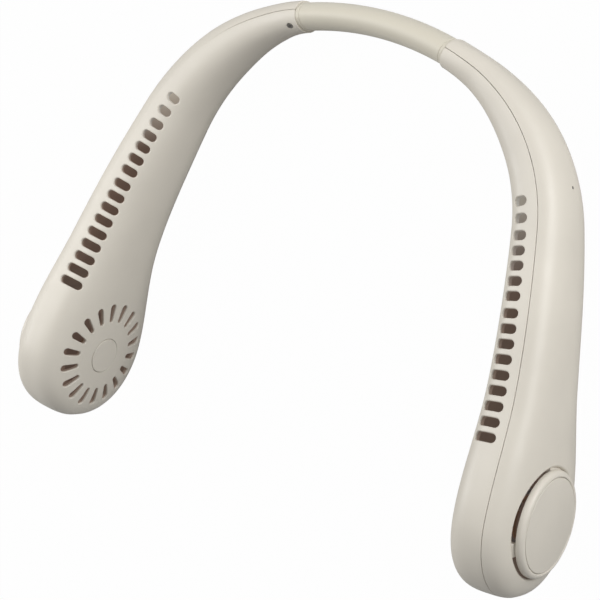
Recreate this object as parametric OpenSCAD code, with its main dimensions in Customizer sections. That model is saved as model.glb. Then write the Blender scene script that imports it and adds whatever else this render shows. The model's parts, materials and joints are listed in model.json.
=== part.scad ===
// A fan worn round the neck: two hollow arms with a fan in each end, joined by a soft band.
// The right arm is described; the left arm is its mirror image.

/* [Neck band] */
// Radius of the soft band's middle line
band_bend_r = 131.5; // [124:0.5:138]
// Turn of the band from its middle to each arm, in degrees
band_turn = 14.4; // [13.6:0.2:15.2]
// Height of the band
band_h = 15.6; // [15:0.2:16.2]
// Thickness of the band
band_t = 10.4; // [9.8:0.2:11]
// Length of the collar at each end of the band
collar_l = 1.6; // [1.2:0.1:2.2]
// Length of the band that plugs into each arm
band_plug = 6; // [5:0.5:7]

/* [Arms] */
// Radius of the shoulder bend
shoulder_bend_r = 73; // [70:0.5:76]
// Turn of the shoulder bend, in degrees
shoulder_turn = 59.8; // [57:0.2:62]
// Radius of the long, slight bend of the arm
arm_bend_r = 490; // [420:4:560]
// Turn of the long bend, in degrees
arm_turn = 11.6; // [10.6:0.2:12.6]
// Height of the arm where the band ends
neck_h = 16.4; // [16:0.2:17.2]
// Width of the arm where the band ends
neck_w = 11.8; // [11.4:0.2:12.6]
// Height of the arm at the shoulder
shoulder_h = 24.8; // [23.6:0.2:26]
// Width of the arm at the shoulder
shoulder_w = 19.2; // [18.6:0.2:20]
// Height of the arm half way down
middle_h = 32.6; // [31.6:0.2:33.6]
// Width of the arm half way down
middle_w = 22; // [21.6:0.2:23]
// Height of the arm just before the fan
lower_h = 40.2; // [39:0.2:41.4]
// Width of the arm just before the fan
lower_w = 24.4; // [23.4:0.2:25.4]
// How far the arm's middle sags below a straight line
arm_sag = 3.3; // [2.4:0.1:4]
// How far the sag is drawn towards the shoulder
sag_shift = 2.3; // [1.6:0.1:3]
// Length from the band over which the sag sets in
sag_start_l = 16; // [12:1:20]
// Wall of the shells
wall = 1.8; // [1.6:0.1:2]
// Gap that shows as the seam between the shells
seam_gap = 0.16; // [0.1:0.02:0.24]

/* [Air slots] */
// Number of outlet slots in each arm
slots = 16; // [12:1:16]
// Spacing of the slots along the arm
slot_pitch = 5.3; // [5.1:0.05:5.4]
// Width of a slot along the arm
slot_w = 3.3; // [2.8:0.1:3.6]
// Length of the first slot, across the arm
slot_first = 5.6; // [5:0.1:6.2]
// Length of the last slot, across the arm
slot_last = 9.8; // [9:0.1:10.4]
// Distance of the last slot from the fan's axis
slot_from_fan = 27.8; // [27:0.2:29]

/* [Fan ends] */
// Diameter of the round end
pod_d = 57.8; // [57:0.2:59]
// Thickness of the round end
pod_t = 28; // [27.4:0.2:29]
// How far the fan's axis lies above the middle of the round end
fan_up = 1; // [0.4:0.1:1.2]
// Number of slots in the inner grille
grille_slots = 18; // [14:1:20]
// Margin of the round end outside the grille
grille_margin = 7.1; // [6.6:0.1:8]
// Length of a grille slot
grille_slot_l = 7.6; // [7:0.1:8.2]
// Width of a grille slot at its outer end
grille_slot_w = 2.9; // [2.5:0.1:3.1]
// Width of a grille slot at its inner end
grille_tip_w = 1.9; // [1.5:0.1:2.2]
// Margin of the round end outside the recess for the cap
recess_margin = 8.9; // [8.4:0.1:9.4]
// Depth of that recess
recess_depth = 4.6; // [4.2:0.1:5]
// Air gap round the outer cap
cap_gap = 0.7; // [0.5:0.1:1]
// Width of the cap's rim round its plate
cap_rim_w = 2.3; // [2:0.1:2.6]
// How far the cap stands out
cap_proud = 1.4; // [1:0.1:2]

/* [Fan wheel] */
// Margin of the round end outside the wheel
wheel_margin = 9.5; // [9:0.1:10.4]
// Room between the inner wall and the duct round the wheel
inlet_room = 4.4; // [4:0.1:5]
// Number of blades
blades = 27; // [19:2:31]
// Radius of the shaft
shaft_r = 1; // [0.8:0.1:1.2]
// Outer radius of the motor's rotor
rotor_r = 10.6; // [10:0.1:11]

/* [Power button] */
// Radius of the power button
button_r = 7; // [6.7:0.1:7.4]
// Travel of the power button
button_travel = 0.4; // [0.3:0.05:0.5]

/* [Battery] */
// Length of each battery cell
cell_l = 50; // [44:1:52]
// Height of each battery cell
cell_h = 17; // [14:0.5:17.5]
// Thickness of each battery cell
cell_t = 5.8; // [5:0.2:6]

/* [Hidden] */

$fn = 64;
cut = 1;
slack = 0.1;
fit = 0.02;

// Path of each arm: the bends in turn, as radius and angle
BENDS = [[band_bend_r, band_turn], [shoulder_bend_r, shoulder_turn], [arm_bend_r, arm_turn]];
function arc_len(bend) = bend[0] * bend[1] * PI / 180;
mouth_s = arc_len(BENDS[0]);
pod_s = mouth_s + arc_len(BENDS[1]) + arc_len(BENDS[2]);
pod_r = pod_d / 2;
grille_r = pod_r - grille_margin;
grille_inner_r = grille_r - grille_slot_l;
recess_r = pod_r - recess_margin;
cap_r = recess_r - cap_gap;
plate_r = cap_r - cap_rim_w;
wheel_r = pod_r - wheel_margin;

// Place and heading at a distance along the path
function walk(s, i = 0, x = 0, y = 0, a = 0) =
  i >= len(BENDS) ? [x + s * cos(a), y - s * sin(a), a] :
  let (
    r = BENDS[i][0],
    turn = min(s / r * 180 / PI, BENDS[i][1]),
    nx = x + r * (sin(a + turn) - sin(a)),
    ny = y + r * (cos(a + turn) - cos(a))
  )
  s <= arc_len(BENDS[i]) ? [nx, ny, a + turn] :
  walk(s - arc_len(BENDS[i]), i + 1, nx, ny, a + turn);

// Smooth curve through values at knots
function seg(t, knots, i = 0) = i >= len(knots) - 2 || t <= knots[i + 1] ? i : seg(t, knots, i + 1);
function slope(i, knots, vals) =
  i == 0 || i == len(knots) - 1 ? 0 : (vals[i + 1] - vals[i - 1]) / (knots[i + 1] - knots[i - 1]);
function smooth(t, knots, vals) =
  let (i = seg(t, knots), step = knots[i + 1] - knots[i], u = (t - knots[i]) / step)
  (2 * u ^ 3 - 3 * u ^ 2 + 1) * vals[i] + (u ^ 3 - 2 * u ^ 2 + u) * step * slope(i, knots, vals)
  + (3 * u ^ 2 - 2 * u ^ 3) * vals[i + 1] + (u ^ 3 - u ^ 2) * step * slope(i + 1, knots, vals);

// Section of the arm: a rounded oval that grows squarer towards the fan
STATION_SHARES = [0, 0.25, 0.5, 0.75, 1];
HALF_HEIGHTS = [neck_h, shoulder_h, middle_h, lower_h, pod_d] / 2;
HALF_WIDTHS = [neck_w, shoulder_w, middle_w, lower_w, pod_t] / 2;
SQUARE_SHARES = [2.25, 2.4, 2.6, 2.8, 2.9];
tip_square_share = 3.4;
function share(s) = min(max((s - mouth_s) / (pod_s - mouth_s), 0), 1);
function ease(t) = let (u = min(max(t, 0), 1)) u * u * (3 - 2 * u);
function sag(s) =
  -(arm_sag * sin(180 * share(s)) + sag_shift * sin(360 * share(s))) * ease((s - mouth_s) / sag_start_l);
function squareness(s) = smooth(share(s), STATION_SHARES, SQUARE_SHARES);
function half_size(s, inset) =
  let (over = min((s - pod_s) / (pod_r - inset), 1))
  s <= pod_s ?
    [smooth(share(s), STATION_SHARES, HALF_WIDTHS) - inset,
     smooth(share(s), STATION_SHARES, HALF_HEIGHTS) - inset] :
    [(pod_t / 2 - inset) * (1 - over ^ tip_square_share) ^ (1 / tip_square_share),
     (pod_r - inset) * sqrt(1 - over ^ 2)];
function signed_power(v, p) = sign(v) * abs(v) ^ p;

// Point of the skin at a distance along the arm and an angle round it: 0 is outwards, 90 is up
function skin(s, angle, inset = 0) =
  let (
    at = walk(s),
    half = half_size(s, inset),
    n = squareness(s),
    across = half[0] * signed_power(cos(angle), 2 / n),
    up = half[1] * signed_power(sin(angle), 2 / n) + sag(s)
  )
  [at[0] + across * sin(at[2]), at[1] + across * cos(at[2]), up];
function unit(v) = v / norm(v);

// The seam runs along the top and the underside, further out near the band
seam_neck = 74;
seam_pod = 80;
function seam_across(s) =
  let (u = share(s))
  half_size(min(s, pod_s), 0)[0] * signed_power(cos(seam_neck + (seam_pod - seam_neck) * u), 2 / squareness(s));
function edge_across(s, outer) = seam_across(s) + (outer ? seam_gap : -seam_gap) / 2;
function edges(s, outer, inset) =
  let (
    edge_share = min(edge_across(s, outer) / half_size(s, inset)[0], 1),
    a = acos(edge_share ^ (squareness(s) / 2))
  )
  outer ? [-a, a] : [a, 360 - a];

// Resting place: the fan ends and the arms' undersides touch the ground
pod_at = walk(pod_s);
function lean(s) =
  let (p = walk(s), dy = p[1] - pod_at[1], dz = half_size(s, 0)[1] - sag(s))
  asin(pod_r / norm([dy, dz])) - atan2(dz, dy);
rest_lean = min([for (u = [0:0.02:0.8]) lean(u * pod_s)]);
back_y = -pod_at[1] * cos(rest_lean) + norm([band_t * cos(rest_lean), band_h * sin(rest_lean)]) / 2;
module resting()
  translate([0, (pod_r - back_y) / 2, pod_r])
    rotate([-rest_lean, 0, 0])
      translate([0, -pod_at[1], 0])
        children();

module on_side(left) {
  if (left) mirror([1, 0, 0]) children();
  else children();
}
// Along the arm is X, outwards is Y, up is Z
module at_arm(s, across = 0) {
  at = walk(s);
  translate([at[0] + across * sin(at[2]), at[1] + across * cos(at[2]), sag(s)])
    rotate([0, 0, -at[2]])
      children();
}
// On the fan's axis, Z outwards
module on_axis(z = 0)
  at_arm(pod_s) translate([0, 0, fan_up]) rotate([-90, 0, 0]) translate([0, 0, z]) children();
// On the skin, Z along its normal and Y along the arm
function skin_frame(s, angle) =
  let (
    step = slot_w / 4,
    along = unit(skin(s + step, angle) - skin(s - step, angle)),
    round = unit(skin(s, angle + 1) - skin(s, angle - 1)),
    normal = unit(cross(round, along))
  )
  [cross(along, normal), along, normal, skin(s, angle)];
function on_skin_point(s, angle, v) =
  let (f = skin_frame(s, angle)) v[0] * f[0] + v[1] * f[1] + v[2] * f[2] + f[3];
module on_skin(s, angle) {
  f = skin_frame(s, angle);
  multmatrix([
    [f[0][0], f[1][0], f[2][0], f[3][0]],
    [f[0][1], f[1][1], f[2][1], f[3][1]],
    [f[0][2], f[1][2], f[2][2], f[3][2]],
    [0, 0, 0, 1]
  ]) children();
}

// Ring between two radii
module ring(inner, outer, h)
  linear_extrude(h) difference() {
    circle(outer);
    circle(inner);
  }

// Half shell: a curved wall swept along the arm, closed round the end
arm_rings = 26;
tip_rings = 8;
around = 14;
function station(i, inset) =
  i <= arm_rings ? mouth_s + (pod_s - mouth_s) * i / arm_rings :
  pod_s + (pod_r - inset) * sin(90 * (i - arm_rings) / tip_rings);
function shell_arc(i, outer, inset) =
  let (s = station(i, inset), e = edges(s, outer, inset))
  [for (j = [0:around]) skin(s, e[0] + (e[1] - e[0]) * j / around, inset)];
// Where the seam crosses the tip
function tip_point(outer, inset) =
  let (edge_share = edge_across(pod_s, outer) / (pod_t / 2 - inset))
  skin(pod_s + (pod_r - inset) * (1 - edge_share ^ tip_square_share) ^ (1 / tip_square_share), 0, inset);
function reversed(v) = [for (i = [len(v) - 1:-1:0]) v[i]];
function quad(a, b, c, d) = [[a, b, c], [a, c, d]];
module half_shell(outer) {
  loop = 2 * (around + 1);
  last = arm_rings + tip_rings - 1;
  points = [
    for (i = [0:last]) each concat(shell_arc(i, outer, 0), reversed(shell_arc(i, outer, wall))),
    tip_point(outer, 0),
    tip_point(outer, wall)
  ];
  tip = loop * (last + 1);
  sides = [for (i = [0:last - 1]) for (k = [0:loop - 1])
    each quad(i * loop + k, (i + 1) * loop + k,
              (i + 1) * loop + (k + 1) % loop, i * loop + (k + 1) % loop)];
  mouth = [for (j = [0:around - 1]) each quad(j, j + 1, loop - 2 - j, loop - 1 - j)];
  end = last * loop;
  nose = [for (j = [0:around - 1]) each [
    [end + j, tip, end + j + 1],
    [end + loop - 1 - j, end + loop - 2 - j, tip + 1]]];
  lips = concat(
    quad(end + around, tip, tip + 1, end + around + 1),
    quad(end + loop - 1, tip + 1, tip, end));
  polyhedron(points, concat(sides, mouth, nose, lips), convexity = 8);
}

// Air slots along the top of the arm, on its inner side
SLOT_STEP_SHARES = [1.18, 1.15, 1, 0.98, 1, 0.98, 1.12, 1, 0.99, 1, 1.02, 1, 1.01, 1, 0.98];
slot_angle_first = 105.4;
slot_angle_last = 101.8;
function slot_s(k) =
  k >= slots - 1 ? pod_s - slot_from_fan : slot_s(k + 1) - slot_pitch * SLOT_STEP_SHARES[k];
// Outline round two circles on the X axis
function capsule(x1, r1, x2, r2) =
  let (lean = asin((r2 - r1) / (x2 - x1)), ends = [[x2, r2, -90 - lean, 180 + 2 * lean], [x1, r1, 90 + lean, 180 - 2 * lean]])
  [for (e = ends) for (u = [0:0.125:1]) let (a = e[2] + e[3] * u) [e[0] + e[1] * cos(a), e[1] * sin(a)]];
module slot_cuts()
  for (k = [0:slots - 1]) {
    u = k / (slots - 1);
    reach = (slot_first + (slot_last - slot_first) * u - slot_w) / 2;
    on_skin(slot_s(k), slot_angle_first + (slot_angle_last - slot_angle_first) * u)
      translate([0, 0, -2 * wall]) linear_extrude(2 * wall + cut)
        polygon(capsule(-reach, slot_w / 2, reach, slot_w / 2));
  }

// Levels along the fan's axis, counted outwards from the middle of the round end
face_in = -pod_t / 2;
wall_in = face_in + wall;
recess_z = pod_t / 2 - recess_depth;
floor_t = 1.4;
mount_t = 1.4;
board_t = 1;
mount_z = recess_z - floor_t - mount_t;
motor_board_z = mount_z - board_t;
coil_gap = 0.4;
cup_t = 0.8;
hub_t = 0.9;
switch_h = 1.6;
plunger_up = 0.8;
// The coils, the button's stem and the room under the hub share what the other levels leave
coil_height_share = 0.52;
stem_length_share = 0.23;
level_room = motor_board_z - coil_gap - 2 * cup_t - hub_t - board_t - switch_h - plunger_up - wall_in;
coil_h = coil_height_share * level_room;
coil_z = motor_board_z - coil_gap - coil_h;
coil_end_share = 0.18;
coil_end = coil_end_share * coil_h;
core_h = coil_h - 2 * coil_end;
cup_z = coil_z - 2 * cup_t;
cup_h = coil_h + 2 * cup_t - coil_gap / 2;
hub_z = cup_z - hub_t;
plunger_z = wall_in + stem_length_share * level_room;
switch_board_z = plunger_z + plunger_up + switch_h;
duct_plate_t = 0.8;
duct_plate_z = wall_in + inlet_room;
wheel_z = duct_plate_z + 2 * duct_plate_t;
wheel_h = motor_board_z - 2 * coil_gap - wheel_z;

// Solid form of the round end, for trimming what stands inside it
module end_form(inset) {
  first = floor(arm_rings * 0.8);
  last = arm_rings + tip_rings - 1;
  loop = 2 * around;
  points = [
    for (i = [first:last]) for (j = [0:loop - 1]) skin(station(i, inset), 360 * j / loop, inset),
    skin(pod_s + pod_r - inset, 0, inset)
  ];
  end = (last - first) * loop;
  tip = len(points) - 1;
  sides = [for (i = [0:last - first - 1]) for (j = [0:loop - 1])
    each quad(i * loop + j, (i + 1) * loop + j,
              (i + 1) * loop + (j + 1) % loop, i * loop + (j + 1) % loop)];
  nose = [for (j = [0:loop - 1]) [end + j, tip, end + (j + 1) % loop]];
  polyhedron(points, concat(sides, nose, [[for (j = [0:loop - 1]) j]]), convexity = 4);
}

// Outer shell, with the round recess and the intake hole behind the cap
seat_w = 4.2;
intake_r = recess_r - seat_w;
recess_wall = 1.2;
motor_screw_edge = 1.8;
motor_screw_ring_r = intake_r + motor_screw_edge;
motor_screw_r = 0.8;
motor_screw_angles = [6, 126, 246];
light_s = mouth_s + 0.36 * (pod_s - mouth_s);
light_angle = 0;
light_r = 0.5;
module outer_shell(left) {
  color("#dcd8cc") on_side(left) difference() {
    union() {
      half_shell(true);
      intersection() {
        on_axis(recess_z - floor_t) difference() {
          cylinder(h = recess_depth + floor_t, r = recess_r + recess_wall);
          translate([0, 0, floor_t]) cylinder(h = recess_depth, r = recess_r);
          translate([0, 0, -cut]) cylinder(h = floor_t + 2 * cut, r = intake_r);
        }
        end_form(wall / 2);
      }
    }
    on_axis(recess_z) cylinder(h = pod_t, r = recess_r);
    for (a = motor_screw_angles)
      on_axis(recess_z - floor_t - cut) rotate([0, 0, a]) translate([motor_screw_ring_r, 0, 0])
        cylinder(h = floor_t + 2 * cut, r = motor_screw_r + slack, $fn = 24);
    if (!left) on_skin(light_s, light_angle)
      translate([0, 0, -wall - cut]) cylinder(h = wall + 2 * cut, r = light_r + slack, $fn = 24);
  }
}

// Inner shell, with the air slots, the grille and the power button's hole
button_gap = 0.15;
guide_r = button_r + 0.8;
guide_wall = 1.2;
guide_h = switch_board_z + board_t - wall_in;
groove_t = 0.3;
usb_l = 9;
usb_w = 3.2;
usb_gap = 0.25;
usb_s = mouth_s + 0.2 * (pod_s - mouth_s);
anchor_l = 5;
anchor_screw_in = 3.4;
anchor_screw_s = mouth_s + anchor_screw_in;
function anchor_screw_angle(left) = left ? 131 : 229;
anchor_screw_l = 5;
anchor_screw_r = 0.7;
anchor_head_r = 1.2;
anchor_head_t = 1;
grille_phase = 0.38;
module grille_cuts()
  for (k = [0:grille_slots - 1])
    on_axis(face_in - cut) rotate([0, 0, 360 * (k + grille_phase) / grille_slots])
      linear_extrude(cut + wall + pod_t / 4)
        polygon(capsule(grille_inner_r + grille_tip_w / 2, grille_tip_w / 2,
                        grille_r - grille_slot_w / 2, grille_slot_w / 2));
module stadium(l, w) {
  square([l - w, w], center = true);
  for (x = [w - l, l - w] / 2) translate([x, 0]) circle(w / 2);
}
module inner_shell(left) {
  color("#dcd8cc") on_side(left) difference() {
    union() {
      half_shell(false);
      if (left) on_axis(wall_in - wall / 2)
        ring(guide_r, guide_r + guide_wall, wall / 2 + guide_h);
    }
    slot_cuts();
    grille_cuts();
    if (left) on_axis(face_in - cut) cylinder(h = wall + 2 * cut, r = button_r + button_gap);
    else on_axis(face_in - cut) ring(button_r, button_r + groove_t, cut + groove_t);
    if (!left) on_skin(usb_s, 270) rotate([0, 0, 90]) translate([0, 0, -wall - cut])
      linear_extrude(wall + 2 * cut) stadium(usb_l + 2 * usb_gap, usb_w + 2 * usb_gap);
    on_skin(anchor_screw_s, anchor_screw_angle(left)) {
      translate([0, 0, -wall - cut]) cylinder(h = wall + 2 * cut, r = anchor_screw_r + slack, $fn = 24);
      translate([0, 0, -anchor_head_t]) cylinder(h = anchor_head_t + cut, r = anchor_head_r + slack, $fn = 24);
    }
  }
}

// Cap that hides the outer intake, on three feet, with a flat plate set into it. The feet
// are arcs of the ring between cap and recess, and the one towards the arm is the longest.
cap_top = pod_t / 2 + cap_proud;
cap_t = 2.9;
cap_round = 1.5;
plate_t = 0.8;
plate_gap = 0.15;
foot_angles = [-64, 56, 163];
foot_turns = [17, 17, 46];
foot_rise = 0.3;
foot_fall = 1.6;
long_foot_fall = 0.8;
foot_falls = [foot_fall, foot_fall, long_foot_fall];
foot_r = cap_r - cap_round;
foot_end_r = recess_r - slack;
foot_h = cap_top - cap_t + foot_rise - recess_z;
module intake_cap(left) {
  seat_z = cap_top - plate_t;
  color("#dedad0") on_side(left) {
    on_axis() rotate_extrude() polygon(concat(
      [[0, cap_top - cap_t], [cap_r, cap_top - cap_t]],
      [for (a = [0:15:90]) [cap_r - cap_round * (1 - cos(a)), cap_top - cap_round * (1 - sin(a))]],
      [[plate_r + plate_gap, cap_top], [plate_r + plate_gap, seat_z], [0, seat_z]]));
    for (k = [0:len(foot_angles) - 1])
      on_axis(recess_z) rotate([0, 0, foot_angles[k]]) intersection() {
        rotate_extrude() polygon([
          [foot_r, 0], [foot_end_r, 0], [foot_end_r, foot_h - foot_falls[k]],
          [cap_r, foot_h], [foot_r, foot_h]]);
        translate([0, 0, -cut]) linear_extrude(foot_h + 2 * cut) sector(recess_r, foot_turns[k]);
      }
  }
}
module cap_plate(left) {
  color("#dedad0") on_side(left) on_axis(cap_top - plate_t) cylinder(h = plate_t, r = plate_r);
}

// Motor mount: a ring and spokes under the intake hole, with the tube that holds the bearings
mount_outer_r = motor_screw_ring_r + motor_screw_edge;
mount_hub_r = 8.6;
spoke_w = 2.4;
tube_r = 3.1;
bearing_r = 2.4;
bearing_h = 2;
module motor_mount(left) {
  color("#3b3a38") on_side(left) difference() {
    union() {
      on_axis(mount_z) ring(intake_r, mount_outer_r, mount_t);
      on_axis(mount_z) cylinder(h = mount_t, r = mount_hub_r);
      on_axis(coil_z) cylinder(h = mount_z + mount_t - coil_z, r = tube_r);
      for (k = [0:2]) on_axis(mount_z) rotate([0, 0, 120 * k])
        translate([mount_hub_r - wall, -spoke_w / 2, 0])
          cube([intake_r - mount_hub_r + 2 * wall, spoke_w, mount_t]);
    }
    on_axis(coil_z - cut) cylinder(h = mount_z + mount_t - coil_z + 2 * cut, r = bearing_r + fit);
    for (a = motor_screw_angles)
      on_axis(mount_z - cut) rotate([0, 0, a]) translate([motor_screw_ring_r, 0, 0])
        cylinder(h = mount_t + 2 * cut, r = motor_screw_r + fit);
  }
}
screw_head_r = 1.3;
screw_head_t = 0.8;
module motor_screws(left) {
  color("silver") on_side(left)
    for (a = motor_screw_angles) on_axis(mount_z) rotate([0, 0, a])
      translate([motor_screw_ring_r, 0, 0]) {
        cylinder(h = mount_t + floor_t, r = motor_screw_r);
        translate([0, 0, mount_t + floor_t]) cylinder(h = screw_head_t, r = screw_head_r);
      }
}
module bearings(left) {
  color("silver") on_side(left)
    for (z = [coil_z, mount_z + mount_t - bearing_h])
      on_axis(z) ring(shaft_r + 2 * fit, bearing_r, bearing_h);
}
module motor_board(left) {
  color("#2f6b3c") on_side(left) on_axis(motor_board_z) ring(tube_r + slack, mount_hub_r, board_t);
}

// Stator: a core with nine teeth, and a coil on each tooth
teeth = 9;
tooth_w = 1.2;
core_inner_r = tube_r + fit;
core_ring_r = 4.3;
tooth_r = 7.5;
core_r = 8.3;
shoe_turn = 30;
coil_r = 4.5;
coil_w = 2.6;
module sector(r, turn)
  polygon([[0, 0], for (a = [-turn / 2:turn / 6:turn / 2]) 2 * r * [cos(a), sin(a)]]);
module stator_core(left) {
  color("#8a8d90") on_side(left) on_axis(coil_z + (coil_h - core_h) / 2)
    linear_extrude(core_h) difference() {
      union() {
        circle(core_ring_r);
        for (k = [0:teeth - 1]) rotate(360 * k / teeth) {
          translate([core_ring_r - slack, -tooth_w / 2])
            square([tooth_r - core_ring_r + 3 * slack, tooth_w]);
          intersection() {
            difference() {
              circle(core_r);
              circle(tooth_r);
            }
            sector(core_r, shoe_turn);
          }
        }
      }
      circle(core_inner_r);
    }
}
module windings(left) {
  hole_w = tooth_w + slack;
  hole_h = core_h + slack;
  color("#b8732f") on_side(left) on_axis(coil_z + coil_h / 2)
    for (k = [0:teeth - 1]) rotate([0, 0, 360 * k / teeth])
      translate([coil_r, 0, 0]) rotate([0, 90, 0]) linear_extrude(tooth_r - coil_r - slack)
        difference() {
          square([coil_h, coil_w], center = true);
          square([hole_h, hole_w], center = true);
        }
}

// Rotor: a steel cup on the shaft, a ring magnet inside it, and the fan wheel round it
boss_r = 2.2;
magnet_t = 1.1;
magnet_h = coil_h - coil_gap;
shaft_l = mount_z + mount_t - cup_z - cup_t;
module rotor_cup(left) {
  color("#c9cbcd") on_side(left) on_axis(cup_z) difference() {
    cylinder(h = cup_h, r = rotor_r);
    difference() {
      translate([0, 0, cup_t]) cylinder(h = cup_h, r = rotor_r - cup_t);
      cylinder(h = cup_t + coil_gap, r = boss_r);
    }
    translate([0, 0, -cut]) cylinder(h = cup_h, r = shaft_r + fit);
  }
}
module magnet_ring(left) {
  color("#4a4a4c") on_side(left) on_axis(cup_z + cup_h - magnet_h - slack)
    ring(rotor_r - cup_t - magnet_t, rotor_r - cup_t - fit, magnet_h);
}
module shaft(left) {
  color("silver") on_side(left) on_axis(cup_z) cylinder(h = shaft_l, r = shaft_r);
}
hub_wall = 1;
disc_t = 0.9;
blade_root_share = 0.435;
hub_r = rotor_r + fit + hub_wall;
blade_root_r = hub_r + blade_root_share * (wheel_r - hub_r);
blade_t = 0.7;
rim_w = 1.2;
rim_t = 0.8;
blade_sweep = 14;
module blade() {
  steps = [0:0.25:1];
  front = [for (u = steps) (blade_root_r + (wheel_r - slack - blade_root_r) * u)
    * [cos(blade_sweep * u ^ 2), sin(blade_sweep * u ^ 2)]];
  back = [for (p = reversed(front)) p + blade_t * [-p[1], p[0]] / norm(p)];
  polygon(concat(front, back));
}
module fan_wheel(left) {
  color("#4f4c48") on_side(left) {
    on_axis(hub_z) difference() {
      cylinder(h = hub_t + cup_h, r = hub_r);
      translate([0, 0, hub_t]) cylinder(h = cup_h + cut, r = rotor_r + fit);
    }
    on_axis(wheel_z + (wheel_h - disc_t) / 2) ring(rotor_r + fit + hub_wall / 2, wheel_r - rim_w, disc_t);
    for (k = [0:blades - 1])
      on_axis(wheel_z) rotate([0, 0, 360 * k / blades]) linear_extrude(wheel_h) blade();
    for (z = [wheel_z, wheel_z + wheel_h - rim_t]) on_axis(z) ring(wheel_r - rim_w, wheel_r, rim_t);
  }
}

// Duct round the wheel: a plate with the inner intake and a wall that opens towards the arm
duct_gap = 0.9;
duct_rim = 3.2;
duct_wall_t = 0.9;
duct_grow = 1;
duct_inlet_r = wheel_r - duct_rim;
duct_wall_r = wheel_r + duct_gap;
duct_plate_r = duct_wall_r + duct_wall_t + duct_grow + 6 * slack;
duct_from = -105;
duct_to = 125;
duct_post_r = 1;
duct_post_edge = 1.8;
duct_post_ring_r = duct_inlet_r + duct_post_edge;
module air_duct(left) {
  outer = [for (a = [duct_from:10:duct_to])
    (duct_wall_r + duct_wall_t + duct_grow * (a - duct_from) / (duct_to - duct_from)) * [cos(a), sin(a)]];
  inner = [for (p = reversed(outer)) p * (1 - duct_wall_t / norm(p))];
  color("#cfcbc0") on_side(left) {
    on_axis(duct_plate_z) ring(duct_inlet_r, duct_plate_r, duct_plate_t);
    on_axis(duct_plate_z + duct_plate_t / 2)
      linear_extrude(recess_z - floor_t - slack - duct_plate_z - duct_plate_t / 2)
        polygon(concat(outer, inner));
    for (a = [60, 180, 300]) {
      far = duct_post_ring_r + duct_post_r;
      foot_z = 2 * slack - pod_reach(far * cos(a), fan_up - far * sin(a), wall);
      on_axis(foot_z) rotate([0, 0, a]) translate([duct_post_ring_r, 0, 0])
        cylinder(h = duct_plate_z + duct_plate_t / 2 - foot_z, r = duct_post_r);
    }
  }
}
function pod_reach(along, up, inset) =
  let (half = half_size(pod_s + along, inset), n = squareness(pod_s + along))
  half[0] * (1 - min(abs(up) / half[1], 1) ^ n) ^ (1 / n);

// Wall along the arm that parts the air duct from the battery, and closes the duct at both ends
duct_wall_across = 0.6;
arm_wall_t = 1;
arm_wall_rings = 27;
arm_wall_share_from = 0.3;
arm_wall_share_to = 0.84;
arm_wall_bend_share = 0.05;
arm_wall_reach_share = 0.9;
function inner_reach(s, across) =
  let (half = half_size(s, wall + 2 * slack), n = squareness(s))
  half[1] * (1 - min(abs(across) / half[0], 1) ^ n) ^ (1 / n);
function arm_point(s, across, up) =
  let (at = walk(s)) [at[0] + across * sin(at[2]), at[1] + across * cos(at[2]), up + sag(s)];
function wall_across(u, s) =
  let (reach = half_size(s, wall)[0] * arm_wall_reach_share,
       start = ease((u - arm_wall_share_from) / arm_wall_bend_share),
       end = ease((u - arm_wall_share_to) / arm_wall_bend_share + 1))
  duct_wall_across * start * (1 - end) - reach * (1 - start) + reach * end;
module duct_wall(left) {
  points = [for (i = [0:arm_wall_rings])
    let (u = arm_wall_share_from + (arm_wall_share_to - arm_wall_share_from) * i / arm_wall_rings,
         s = mouth_s + u * (pod_s - mouth_s), mid = wall_across(u, s),
         near = mid - arm_wall_t / 2, far = mid + arm_wall_t / 2,
         up = inner_reach(s, max(abs(near), abs(far))))
    each [arm_point(s, near, -up), arm_point(s, far, -up), arm_point(s, far, up), arm_point(s, near, up)]];
  sides = [for (i = [0:arm_wall_rings - 1]) for (k = [0:3])
    each quad(4 * i + k, 4 * i + 4 + k, 4 * i + 4 + (k + 1) % 4, 4 * i + (k + 1) % 4)];
  end = 4 * arm_wall_rings;
  color("#cfcbc0") on_side(left)
    polyhedron(points, concat(sides, [[0, 1, 2, 3], [end + 3, end + 2, end + 1, end]]), convexity = 4);
}
cell_s = mouth_s + 0.63 * (pod_s - mouth_s);
module battery(left) {
  color("#5a7d9a") on_side(left)
    at_arm(cell_s, duct_wall_across + arm_wall_t / 2 + 3 * slack + cell_t / 2)
      translate([-cell_l / 2, 0, 0]) rotate([0, 90, 0]) linear_extrude(cell_l) stadium(cell_h, cell_t);
}

// Soft band: an oval section swept round an arc, with a plug at each end and a bore right through
bore_w = 5;
bore_h = 8;
plug_gap = 0.5;
collar_up = 0.2;
band_rings = 12;
band_sides = 24;
module band_arc(turn)
  translate([0, -band_bend_r, 0]) rotate([0, 0, 90 - turn])
    rotate_extrude(angle = 2 * turn, $fn = 96) translate([band_bend_r, 0]) children();
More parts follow.
